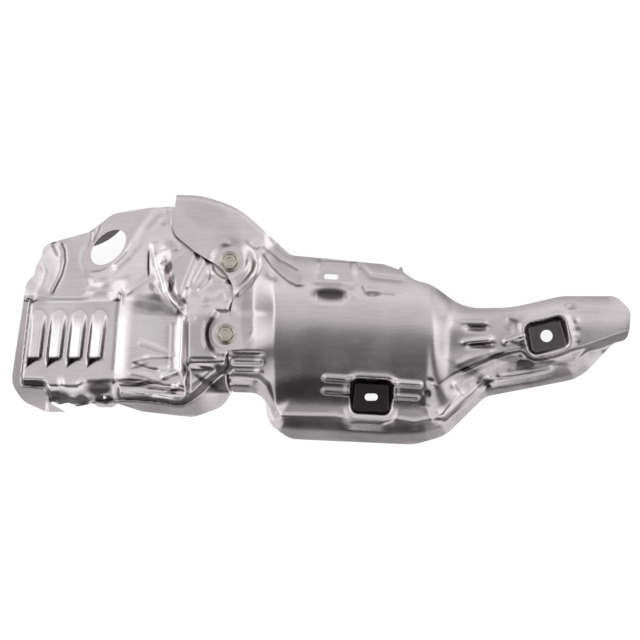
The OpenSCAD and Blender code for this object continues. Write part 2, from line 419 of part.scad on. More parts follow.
module turbo_cover() {
    i0 = 0; i1 = index_at(-51.5);
    P = [for (i = [i0:i1]) [for (j = [0:rows_n]) node_xy(i, j)]];
    Z = [for (i = [i0:i1]) [for (j = [0:rows_n]) turbo_z(P[i - i0][j])]];
    T = [for (i = [i0:i1]) [for (j = [0:rows_n]) turbo_t(P[i - i0][j], Z[i - i0][j])]];
    use = [for (i = [i0:i1 - 1]) [for (j = [0:rows_n - 1]) true]];
    color(steel) difference() {
        trimmed(rounded(turbo_line, 4)) sheet(i0, i1, Z, T, use);
        bolt_holes();
        translate([oval_c[0], oval_c[1], -1]) rotate([0, 0, 45]) linear_extrude(80)
            polygon([for (a = [0:7.5:359]) [oval_len / 2 * cos(a), oval_w / 2 * sin(a)]]);
    }
}
// inner patch spot welded under one side of the oval hole, its free edge slightly bulged
module hole_doubler() {
    color(inner_steel) translate([0, 0, deck_h - 2 * sheet_t]) linear_extrude(sheet_t) intersection() {
        translate(oval_c) rotate(45) polygon([for (a = [0:7.5:359]) [(oval_len / 2 + 4) * cos(a),
            (oval_w / 2 + 4) * sin(a)]]);
        translate(oval_c + [-22.8, 42.6]) circle(43.4, $fn = 120);
    }
}
module flange_bolt(c, z) {
    color(zinc) translate([c[0], c[1], z]) {
        rotate_extrude($fn = 64) polygon([[0, 0], [flange_d / 2, 0], [flange_d / 2, flange_t * 0.55],
            [hex_af * 0.58, flange_t + 0.9], [0, flange_t + 0.9]]);
        intersection() {
            translate([0, 0, flange_t * 0.5]) cylinder(d = hex_af / cos(30), h = flange_t * 0.5 + hex_h,
            $fn = 6);
            rotate_extrude($fn = 48) polygon([[0, 0], [hex_af * 0.6, 0],
            [hex_af * 0.6, flange_t + hex_h - 0.9],
                [hex_af * 0.47, flange_t + hex_h], [hex_af * 0.36, flange_t + hex_h],
                [hex_af * 0.3, flange_t + hex_h - 0.4],
                [0, flange_t + hex_h - 0.4]]);
        }
        translate([0, 0, -bolt_len]) rotate_extrude($fn = 48) polygon([[0, 0], [bolt_d / 2 - 0.8, 0],
            [bolt_d / 2, 0.8], [bolt_d / 2, bolt_len + 0.2], [0, bolt_len + 0.2]]);
    }
}
module flange_nut(c, z) {
    color(zinc) translate([c[0], c[1], z]) mirror([0, 0, 1]) difference() {
        union() {
            rotate_extrude($fn = 64) polygon([[0, 0], [hex_af * 0.71, 0], [hex_af * 0.71, 0.7],
            [hex_af * 0.56, 1.5], [0, 1.5]]);
            translate([0, 0, 0.5]) cylinder(d = hex_af / cos(30), h = nut_h + 0.5, $fn = 6);
        }
        translate([0, 0, -1]) cylinder(d = bolt_d, h = nut_h + 3, $fn = 48);
    }
}
module flange_bolt_upper() { flange_bolt(upper_c, upper_z); }
module flange_bolt_lower() { flange_bolt(lower_c, lower_z); }
module flange_nut_upper() { flange_nut(upper_c, upper_z - 2 * sheet_t); }
module flange_nut_lower() { flange_nut(lower_c, lower_z - 2 * sheet_t); }

turbo_cover();
converter_cover();
hole_doubler();
flange_bolt_upper();
flange_bolt_lower();
flange_nut_upper();
flange_nut_lower();
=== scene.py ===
# Exhaust heat shield: two pressed aluminised steel covers, lapped and held by two flange screws.
import numpy as np
import bpy
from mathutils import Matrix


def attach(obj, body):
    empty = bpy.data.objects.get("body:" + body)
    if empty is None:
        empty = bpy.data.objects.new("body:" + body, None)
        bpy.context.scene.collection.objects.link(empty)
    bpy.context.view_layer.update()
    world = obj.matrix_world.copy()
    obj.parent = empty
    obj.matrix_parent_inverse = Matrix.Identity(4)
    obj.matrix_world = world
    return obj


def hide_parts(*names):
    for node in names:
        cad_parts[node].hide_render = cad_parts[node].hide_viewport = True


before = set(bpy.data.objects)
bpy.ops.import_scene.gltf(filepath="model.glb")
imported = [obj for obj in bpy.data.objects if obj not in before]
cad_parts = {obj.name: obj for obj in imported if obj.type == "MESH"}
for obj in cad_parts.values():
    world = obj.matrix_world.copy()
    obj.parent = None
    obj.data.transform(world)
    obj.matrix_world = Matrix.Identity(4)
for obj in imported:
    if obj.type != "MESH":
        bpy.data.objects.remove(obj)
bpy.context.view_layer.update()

# Surfaces of the two covers in millimetres: x along the pipe, y across it, z off the floor.
mmPerUnit = 0.75  # plan positions are given on a square of 640 units

def at(u, v):
    return np.array(((u - 320.0) * mmPerUnit, (320.0 - v) * mmPerUnit))

def ease(a, b, v):  # smooth rise from 0 at a to 1 at b: three times t squared less twice t cubed
    t = np.clip((v - a) / (b - a), 0, 1)
    return t * t * (3 - 2 * t)

def mix(a, b, t):
    return a + (b - a) * t

def softMax(a, b, k):  # larger of two heights, with a fillet of width k
    h = np.maximum(k - np.abs(a - b), 0) / k
    return np.maximum(a, b) + h * h * k / 4

def softMin(a, b, k):
    return -softMax(-a, -b, k)

def bell(v, w):
    return np.exp(-(v / w) ** 2)

def alongX(x, stations):  # smooth value between stations (x, value)
    out = np.full(np.shape(x), float(stations[0][1]))
    for (x0, v0), (x1, v1) in zip(stations[:-1], stations[1:]):
        out = np.where(x >= x0, mix(v0, v1, ease(x0, x1, x)), out)
    return out

def curveX(x, stations, soft=5.0):  # straight lines between stations (x, value), rounded over about soft mm
    fine = np.arange(stations[0][0] - 30, stations[-1][0] + 30, 0.5)
    value = np.interp(fine, *np.transpose(stations))
    window = np.hanning(int(soft * 4) + 3)
    value = np.convolve(np.pad(value, len(window) // 2, mode="edge"), window / window.sum(),
        mode="valid")[:len(fine)]
    return np.interp(x, fine, value)

def toSegment(x, y, a, b):  # distance to the segment a-b
    dx, dy = b[0] - a[0], b[1] - a[1]
    t = np.clip(((x - a[0]) * dx + (y - a[1]) * dy) / (dx * dx + dy * dy), 0, 1)
    return np.hypot(x - a[0] - t * dx, y - a[1] - t * dy)

def turned(x, y, c, degrees):  # coordinates about c, turned by an angle
    k, s = np.cos(np.radians(degrees)), np.sin(np.radians(degrees))
    return (x - c[0]) * k + (y - c[1]) * s, (y - c[1]) * k - (x - c[0]) * s

def toBox(x, y, c, half, degrees, r):  # signed distance to a rounded rectangle
    u, v = turned(x, y, c, degrees)
    u, v = np.abs(u) - half[0] + r, np.abs(v) - half[1] + r
    return np.hypot(np.maximum(u, 0), np.maximum(v, 0)) + np.minimum(np.maximum(u, v), 0) - r

# pressed bead with round ends: across it, one less d squared, all squared
def bead(x, y, a, b, width, height):
    d = toSegment(x, y, a, b) * 2 / width
    return height * np.where(d < 1, (1 - np.minimum(d, 1) ** 2) ** 2, 0)

def rise(v, w):  # 0 below 0 to 1 at w: sharp at the foot, round at the shoulder
    t = np.clip(v / w, 0, 1)
    return 1 - (1 - t) ** 2

# signed distance to an open path, positive on the walker's right, and the way along it
def alongPath(u, v, path):
    best, side, way, total = np.full(np.shape(u), 1e9), np.ones(np.shape(u)), np.zeros(np.shape(u)), 0.0
    for (a, b), (c, d) in zip(path[:-1], path[1:]):
        dx, dy = c - a, d - b
        length = np.hypot(dx, dy)
        t = np.clip(((u - a) * dx + (v - b) * dy) / length ** 2, 0, 1)
        qx, qy = u - a - t * dx, v - b - t * dy
        far = np.hypot(qx, qy)
        near = far < best
        best = np.where(near, far, best)
        side = np.where(near, np.sign(dx * qy - dy * qx), side)
        way = np.where(near, total + t * length, way)
        total += length
    return best * side, way, total

def nearPath(u, v, path, reach):  # which points lie in the box round a path, widened by reach
    us, vs = np.transpose(path)
    return (u > us.min() - reach) & (u < us.max() + reach) & (v > vs.min() - reach) & (v < vs.max() + reach)

def folded(u, v, folds):  # heights added by folds, each (path, width right, width left, height, sharpness)
    z = np.zeros(np.shape(u))
    for path, right, left, height, sharp in folds:
        m = nearPath(u, v, path, max(right, left))
        if not m.any():
            continue
        d, way, total = alongPath(u[m], v[m], path)
        t = np.clip(1 - np.abs(d) / np.where(d > 0, right, left), 0, 1)
        fade = min(4.0, total / 3)
        ends = ease(0, fade, way) * ease(total, total - fade, way)
        z[m] += height * mix(t * t * (3 - 2 * t), t ** 1.25, sharp) * np.maximum(ends, 0.25 * t)
    return z

# patches of painted shade, or of painted highlight below 0, each (u, v, half length, half width, degrees,
# amount)
def paintedPatchTone(u, v, paintedPatches):
    out = np.zeros(np.shape(u))
    for a, b, long, wide, degrees, amount in paintedPatches:
        p, q = turned(u, v, (a, b), degrees)
        value = amount * ease(1.35, 0.65, np.hypot(p / long, q / wide))
        out = np.where(np.abs(value) > np.abs(out), value, out)
    return out

def paintedLineTone(u, v, lines):  # the same along a path, each (path, width, amount)
    out = np.zeros(np.shape(u))
    for path, width, amount in lines:
        m = nearPath(u, v, path, 3 * width)
        if not m.any():
            continue
        d, way, total = alongPath(u[m], v[m], path)
        value = amount * bell(d, width) * ease(-1, 3, way) * ease(total + 1, total - 3, way)
        out[m] = np.where(np.abs(value) > np.abs(out[m]), value, out[m])
    return out

def toUnits(x, y):
    return x / mmPerUnit + 320.0, 320.0 - y / mmPerUnit

def roundedLine(corners, steps=7):  # corner list (u, v, radius in units) to a closed line with arcs
    out = []
    for i, (u, v, r) in enumerate(corners):
        p, a, b = at(u, v), at(*corners[i - 1][:2]), at(*corners[(i + 1) % len(corners)][:2])
        da, db = np.linalg.norm(a - p), np.linalg.norm(b - p)
        ua, ub = (a - p) / da, (b - p) / db
        half = np.arccos(np.clip(ua @ ub, -1, 1)) / 2
        t = min(r * mmPerUnit / np.tan(half), 0.49 * min(da, db))
        if t < 0.05:
            out.append(p)
            continue
        radius = t * np.tan(half)
        c = p + (ua + ub) / np.linalg.norm(ua + ub) * radius / np.sin(half)
        q0, q1 = p + ua * t - c, p + ub * t - c
        a0 = np.arctan2(q0[1], q0[0])
        sweep = (np.arctan2(q1[1], q1[0]) - a0 + np.pi) % (2 * np.pi) - np.pi
        angles = a0 + sweep * np.arange(steps + 1) / steps
        out += list(c + radius * np.stack([np.cos(angles), np.sin(angles)], axis=1))
    return np.array(out)

sheetThickness = 1.0
bolts = {"upper": at(229.7, 261.9), "upperSeat": 29.5, "lower": at(225.7, 334.2), "lowerSeat": 31.0,
    "flange": 16.0, "hole": 6.6}

# paths that a fold and its shading share
leafEdge = [(262.5, 253), (266.7, 260), (272, 267.5), (281, 276), (289.5, 282.5), (296.5, 285.6),
    (305, 285.5)]
flangeCrease = [(61, 242), (64.5, 250), (65, 262), (61.5, 275), (56.5, 285), (51.5, 294)]

converterCover = {
    "cell": 0.9,
    "corners": [(175.2, 194.8, 2), (202, 195.5, 60), (240, 208, 90), (290.5, 255.3, 12), (384, 264.3, 12),
        (398.6, 269.6, .5), (400.2, 266.8, .6), (402.6, 267.6, .6), (402.8, 271.8, .5), (414, 280, 25),
        (431, 284.5, 30), (465, 308.5, 50), (512, 307.5, 120), (562, 296, 60), (617, 296, 14),
        (632, 310, 14), (630, 341, 9), (617, 343, 8), (583, 379, 45), (487, 397.5, 22), (447, 437, 40),
        (415, 446.2, 25), (290, 440.5, 24), (266.5, 424, 24), (265, 394, 22), (232, 393, 3),
        (228.5, 384, 8), (228.5, 356, 1)],
    "seam": [(228.4, 310.5, 0), (233, 302, 8), (233, 286, 14), (226.8, 274.5, 10), (218, 265.5, 6),
        (196, 252.5, 30), (176, 236, 20), (167.5, 218, 14)],
    "crownLine": [(-45, 12), (-36, 11.4), (83, 4.9), (92, -4), (100, -9), (112, -9), (125, -6), (150, -1),
        (180, 3), (232, 4)],
    "crownHeight": [(-45, 42), (84, 42), (97, 37.5), (125, 34), (150, 31.5), (180, 28.5), (232, 22)],
    "upperSteepness": [(-45, 0.75), (81, 0.75), (96, 0.95), (125, 0.85), (232, 0.8)],
    "lowerSteepness": [(-45, 0.75), (82, 0.75), (95, 0.5), (125, 0.5), (160, 0.6), (232, 0.6)],
    "crownRound": [(-45, 32), (84, 32), (98, 26), (125, 22), (232, 16)],
    "foot": [(232, 386), (248, 387), (257, 391), (264, 398), (270, 409), (274, 420), (281, 428.5),
        (300, 430), (345, 432), (385, 434.5), (400, 435), (426, 432.8), (442.8, 427), (452.7, 418),
        (465, 408.8), (480, 396), (487, 391.5), (500, 388.5), (535, 383.5), (575, 374.5), (590, 366),
        (604, 352), (632, 345)],
    "edge": [(232, 376), (247, 377), (258, 379), (266, 386), (272, 398), (276, 410), (281, 417.2),
        (310, 418.3), (335, 418.7), (343.3, 420.4), (351.6, 424.5), (381.4, 426), (389.7, 423.7),
        (396.4, 421), (405.5, 422.9), (414.6, 424.5), (426, 422), (436, 420.5), (446, 419), (456, 409.5),
        (465, 400.3), (478, 388.5), (485, 383), (500, 379), (535, 374.5), (570, 366), (590, 352),
        (632, 338)],
    "edgeHeight": [(-66, 12), (-48, 10.5), (-36, 9), (85, 9), (110, 9.9), (135, 10.4), (165, 9.4),
        (190, 7.9), (232, 6.4)],
    "edgeSlope": [(-66, 0.9), (-46, 0.6), (-36, 0.25), (232, 0.25)],
    "flank": [(437, 385), (450, 375), (466, 368.6), (489.5, 357.6), (505.6, 351.7), (522, 348.6),
        (536, 358), (556, 354.5), (572, 348), (600, 341), (632, 336)],
    "neckHeight": 31.6,
    # the pads' floors get painted shade, in the amounts given here
    "pad": at(371.7, 397.8), "padBox": ((14.8, 12.4), -3, 5), "padFloor": 8.0, "padPaintedShade": 0.98,
        "slot": (10.0, 5.4),
    "snoutPad": at(547.5, 336), "snoutPadBox": ((14.5, 11.5), 14, 5), "snoutPadFloor": 20.0,
        "snoutPadPaintedShade": 0.88, "hole": 9.2,
    "tabSlotAt": at(331.2, 277), "tab": at(336, 272), "tabBox": ((13.2, 8.4), -3, 3), "tabHeight": 38.0,
        "tabSlot": (11.0, 3.8),
    "beads": [(326, 378.5, 352, 380, 7.4, 2.6), (325, 391.5, 352, 393, 7.0, 2.3),
        (394, 383.2, 420, 385, 6.4, 2.4), (396, 397, 418, 398.4, 5.0, 1.9)],
    "lateBeads": [(506, 341.5, 526, 335, 7.2, 2.6), (234.5, 361.5, 261, 362, 6.2, 2.0),
        (234.5, 372, 259, 372.6, 6.2, 2.0)],
    "folds": [
        # lip along the lower edge, high on the slanting part
        ([(274, 416.5), (310, 417), (335, 417.4), (343.3, 419), (351.6, 423), (381.4, 424.5), (389.7, 422),
        (396.4, 419.8), (414.6, 423), (432, 420)], 1.6, 3.5, 0.8, 0.4),
        ([(436, 420), (446, 417), (456, 407.5), (465, 398.5), (478, 387)], 3, 11, 1.9, 0.1),
        ([(497, 378), (512, 376), (535, 372.6), (556, 368)], 3, 5, 1.6, 0.3),
        # pinched knot in that lip
        ([(479, 387), (484, 380), (490, 378.5), (496, 382)], 3, 3, 2.6, 0.5),
        ([(486, 389), (489, 384), (492, 387)], 2.2, 2.2, -3.0, 0.5),
        # snout: hollow, ridges and the facet over the flank crease
        ([(457, 321.5), (488, 322)], 3, 3, 0.9, 0.3), ([(464, 327.5), (489, 328)], 5, 3.5, -2.6, 0.2),
        ([(460, 343), (470, 341), (493, 339)], 3, 3.5, 1.5, 0.3),
        ([(466, 346.5), (494, 344)], 4, 3, -2.4, 0.2),
        ([(455, 366), (470, 359), (494, 351.5)], 3, 5, 0.9, 0.3),
        ([(450, 388), (464, 381), (480.7, 370), (498, 363)], 5, 5, 0.8, 0.0),
        ([(500, 366), (520, 361), (545, 359)], 4, 4, -0.8, 0.1),
        ([(508, 371), (530, 367.5), (560, 362)], 2.5, 2.5, 0.7, 0.4),
        ([(505, 320), (516, 324), (515, 331)], 6, 6, -1.2, 0.0),
        # knot at the lower right of the barrel
        ([(428, 383), (433, 384.5), (438, 386.5)], 2.2, 2.2, 1.8, 0.5),
        ([(429, 378.5), (434, 380.5)], 2.4, 2.4, -2.2, 0.3), ([(424, 390), (430, 397)], 4, 4, -1.8, 0.2),
        ([(420, 406), (431, 404.5)], 3, 2, -0.8, 0.4),
        # dents right of the snout pad and along the top edge of the snout
        ([(566, 308), (577, 305)], 5, 4, -1.1, 0.1), ([(573, 330), (581, 329.5)], 2, 2, -0.8, 0.2),
        ([(575, 342.5), (581, 342)], 1.6, 1.6, -0.6, 0.2), ([(574, 318), (579, 322)], 3, 3, 0.7, 0.2),
        ([(573, 335.5), (580, 335)], 2, 2, 0.6, 0.2),
        # neck: groove over the beads, band under the upper plane, soft streak
        ([(229, 353.6), (245, 353.2), (264, 354)], 1.8, 3.2, -2.4, 0.5),
        ([(253, 331), (246.4, 343)], 3, 3, -0.9, 0.1),
        # dish of the upper screw
        ([(209, 260), (212, 252), (217.4, 246.6), (223, 242.8), (231.5, 244.5)], 5, 5, 0.8, 0.0),
        ([(249, 256), (248, 263), (243, 273), (233, 283)], 4, 4, 0.5, 0.0),
        ([(253, 262), (250, 271), (243.5, 279), (236, 286.5)], 3.5, 3.5, -0.7, 0.0),
        ([(258, 256), (259, 265), (256.5, 273), (251, 281), (243, 288.5), (235.5, 296.5)], 7, 2.6, 1.7,
        0.1),
        # leaf facet between the neck and the barrel
        (leafEdge, 1.6, 12, 1.3, 0.5), ([(246, 241), (254, 248.2), (257.5, 249), (262, 246), (270, 252),
        (279, 260), (289, 265), (299, 271)], 1.8, 1.8, -0.6, 0.4),
        ([(264.6, 274.5), (279.6, 281)], 3, 3, -0.8, 0.0),
        # turned-down upper edge of the tongue
        ([(172, 193.8), (190, 194.2), (202, 195.8), (221, 200.5), (240, 208.5), (265, 231), (292, 256)],
        4.5, 4.5, -1.7, 0.9),
        # swelling under the tab, its bright end, and the dents beside it
        ([(313, 286), (345, 287)], 7, 5, 1.0, 0.0), ([(314, 297), (346, 298)], 8, 8, -1.5, 0.0),
        ([(348, 289), (356, 298)], 6, 6, 0.7, 0.0),
        ([(361, 285), (364.6, 292.8), (371.3, 296.5)], 2, 2, -0.9, 0.6),
        ([(366, 293), (382, 293.5)], 2.4, 2, -1.3, 0.3),
        ([(364.6, 285.5), (385.7, 289.2), (402.9, 292), (407, 298)], 1.6, 1.6, -0.6, 0.5),
        ([(356, 264), (362, 266), (367, 270), (371.3, 275.8), (386, 277.6), (404, 279.6)], 5, 1.5, -1.1,
        0.3)],
    # patches of painted shade, and of painted highlight where the amount is below 0
    "paintedPatches": [(330, 391, 62, 15, 0, 0.5), (410, 396, 24, 12, 0, 0.3), (478, 328.5, 9.5, 3.4, 0, 0.75),
        (481, 346, 15, 3.0, 4, 0.8), (428, 393.5, 4.2, 5.2, -20, 0.85), (432, 380, 3.2, 2.4, 10, 0.85),
        (489.5, 386, 3.4, 2.2, 40, 0.85), (425, 405.4, 6, 2, 8, 0.5), (331, 294, 17.5, 6.4, 2, 0.86),
        (373, 293, 7, 1.6, 3, 0.6), (470, 371, 24, 3.6, 26, 0.45), (508, 358, 22, 4.5, 12, 0.55),
        (547, 362, 26, 2.5, 8, 0.5), (246, 354, 17, 1.5, 0, 0.85), (335, 401.5, 9, 1.2, 3, 0.55),
        (510, 325, 7, 6.5, 0, 0.45), (518, 343.5, 10, 2.0, 17, 0.8), (571, 306.5, 7, 3.5, 10, 0.3),
        (577, 329.8, 3.5, 1.5, 0, 0.45), (578, 342.2, 2.6, 1.2, 0, 0.5), (264, 318, 9, 52, 0, 0.14),
        (318, 265, 4, 6, 0, 0.35), (355, 266, 5, 6, 0, 0.35), (437, 360, 5, 19, 3, -0.9),
        (456, 345, 10, 24, 0, 0.1), (441, 300, 10, 26, -4, 0.4), (247, 318, 6, 32, 0, 0.24),
        (245, 282, 9, 9, 0, 0.25), (208, 216, 30, 12, 25, 0.12), (500, 338, 46, 26, 12, 0.17),
        (597, 318, 34, 22, 0, 0.08), (535, 376, 62, 11, 12, 0.13), (350, 280, 60, 8, 4, 0.08)],
    # lines of painted shade along creases and hollows, and of painted highlight where the amount is below 0
    "paintedLines": [([(437, 385), (450, 376), (466, 368), (489.5, 357.5), (505.6, 351.7)], 1.3, 0.75),
        (leafEdge, 1.25, 0.85), ([(262, 246), (270, 252), (279, 260), (289, 265), (299, 271)], 1.1, 0.6),
        ([(246, 241), (254, 248.2), (257.5, 249), (261, 246.4)], 1.1, 0.55),
        ([(265, 274), (279, 280.5)], 2.4, 0.35), ([(361, 285), (364.6, 292.8), (371.3, 296.5)], 1.2, 0.5),
        ([(371, 297), (382, 293.5), (396, 295)], 1.2, 0.4),
        ([(258, 248), (268, 260), (281, 271), (294, 280)], 4.5, -0.3), ([(349, 290), (355, 299)], 5, -0.9),
        ([(292, 257), (384, 266), (400, 270), (430, 287), (465, 310), (512, 309), (562, 298), (612, 298)],
        5, 0.22), ([(439, 418), (456, 404.5), (470, 392.5), (479, 386)], 4, -0.85),
        ([(460, 344), (476, 340), (493, 337)], 1.8, -0.6),
        ([(503, 341), (515, 338), (527, 334)], 1.8, -0.5),
        ([(284, 424.5), (340, 425), (380, 431), (425, 428)], 3.2, 0.3)],
}

# fall at distance d from the crown: a hyperbola, round on top and straight further out
def flankFall(d, steepness, broad):
    e = steepness * np.maximum(d, 0)
    return np.sqrt(broad ** 2 + e ** 2) - broad

def converterHeight(x, y):
    c = converterCover
    u, v = toUnits(x, y)
    crown = curveX(x, c["crownLine"], 8)
    along = np.maximum(x, -34)
    broad = curveX(along, c["crownRound"])
    lowerFall = flankFall(crown - y, curveX(along, c["lowerSteepness"]), broad)
    upperFall = flankFall(y - crown, curveX(along, c["upperSteepness"]), broad)
    barrel = curveX(along, c["crownHeight"]) - lowerFall - upperFall
    barrel = barrel - 5.5 * ease(82.5, 97, x) * ease(8, -26, y) * mix(1, 0.3, ease(97, 125, x))
    flank, way = alongPath(u, v, c["flank"])[:2]
    flank = np.maximum(flank, 0) * mmPerUnit
    barrel = barrel - (3.2 * ease(0, 3.2, flank) + 0.5 * flank) * ease(-4, 42, way)
    # neck: a plane, a low band above it and a flank down to the rim; the sweep to the barrel ends sharply
    neck = c["neckHeight"] - 1.3 * ease(318, 310, v) + 0.14 * mmPerUnit * np.maximum(309 - v, 0)
    neck = softMin(neck, c["neckHeight"] - 0.86 * mmPerUnit * (v - 351), 2)
    z = mix(neck, barrel, np.clip((u - 253) / 21.6, 0, 1) ** 1.1)
    # lower edge: rim, wall and ledge between two lines
    foot = -alongPath(u, v, c["foot"])[0] * mmPerUnit
    edge = -alongPath(u, v, c["edge"])[0] * mmPerUnit
    top = curveX(x, c["edgeHeight"])
    t = np.clip(foot / np.maximum(foot - np.minimum(edge, 0), 0.01), 0, 1)
    low = mix(3.2, top, t) + np.minimum(foot, 0) * 0.26 + curveX(x, c["edgeSlope"]) * np.clip(edge, 0, 22)
    low = np.maximum(low, sheetThickness)
    z = np.where(edge > 0, np.minimum(softMax(z, low, 1.6), top + 2.0 * edge + 0.6), low)
    # pad on the ledge, with a collar that stands a little proud of it
    pad = c["pad"]
    f = toBox(x, y, pad, *c["padBox"])
    z = np.where(edge > -2, softMax(z, c["padFloor"] + 3.2 - 0.55 * np.maximum(f - 4.5, 0) ** 1.5, 1.2), z)
    for u0, v0, u1, v1, w, h in c["beads"]:
        z = z + bead(x, y, at(u0, v0), at(u1, v1), w, h)
    z = z + 1.6 * bell(f - 3.0, 2.6) * ease(-6, 9, y - pad[1])
    z = mix(z, c["padFloor"], ease(1.4, -1.6, f))
    ring = np.hypot(x - pad[0], y - pad[1] + 0.6)
    z = z + 0.4 * bell(ring - 11.8, 0.8) * ease(0, -2, f) * (y < pad[1])
    # pad on the snout
    g = toBox(x, y, c["snoutPad"], *c["snoutPadBox"])
    z = z + 1.2 * bell(g - 2.8, 2.0)
    z = mix(z, c["snoutPadFloor"], ease(1.4, -1.6, g))
    for u0, v0, u1, v1, w, h in c["lateBeads"]:
        z = z + bead(x, y, at(u0, v0), at(u1, v1), w, h)
    # level tab at the upper edge
    tab = toBox(x, y, c["tab"], *c["tabBox"])
    z = mix(z, c["tabHeight"], ease(5.5, -2.5, tab))
    # tongue over the left cover
    z = mix(z, 31.5 - 0.03 * (y - 60), ease(-4, 11, (y - 37) * 0.92 - (x + 68) * 0.62) * ease(-14, -50, x))
    for key, r, w in (("upper", 2.0, 12), ("lower", 3.6, 8)):
        far = np.hypot(x - bolts[key][0], y - bolts[key][1]) - bolts["flange"] / 2 - r
        z = mix(z, bolts[key + "Seat"], ease(w, 0, far))
    flat = np.ones(np.shape(x))
    for key in ("upper", "lower"):
        far = np.hypot(x - bolts[key][0], y - bolts[key][1]) - bolts["flange"] / 2
        flat = flat * ease(2.5, 5.5, far)
    flat = flat * ease(-1, 0, f) * ease(-1, 0, g)
    return z + folded(u, v, c["folds"]) * flat

# painted shade and highlight for each place: painted shade on steep walls, in dark patches, along creases
# and on the pads' floors, and painted highlights where the value goes below 0
def converterTone(x, y, slope):
    c = converterCover
    u, v = toUnits(x, y)
    # painted shade on the pads' floors
    padFloorShade = np.maximum(c["padPaintedShade"] * ease(1.2, -0.8, toBox(x, y, c["pad"], *c["padBox"])),
        c["snoutPadPaintedShade"] * ease(1.2, -0.8, toBox(x, y, c["snoutPad"], *c["snoutPadBox"])))
    # painted highlight along the converter's edge where it laps over the left cover
    seamHighlight = 0.55 * bell(alongPath(x, y, seamLine)[0] + 0.5, 0.7) * (x < -60)
    # painted shade on steep walls, then the painted patches and lines
    tone = 0.8 * ease(0.9, 1.9, slope) + paintedPatchTone(u, v, c["paintedPatches"]) + paintedLineTone(u, v, c["paintedLines"]) - seamHighlight
    return np.clip(np.maximum(tone, padFloorShade), -1, 1)

ear = [bolts["lower"] + 10.3 * np.array((np.cos(np.radians(q)), np.sin(np.radians(q)))) for q in range(-75,
    -286, -6)]
seamLine = np.vstack([[at(232, 393), at(228.5, 384), at(228.5, 356)], ear,
    roundedLine(converterCover["seam"])[1:], [at(175.2, 194.8)]])

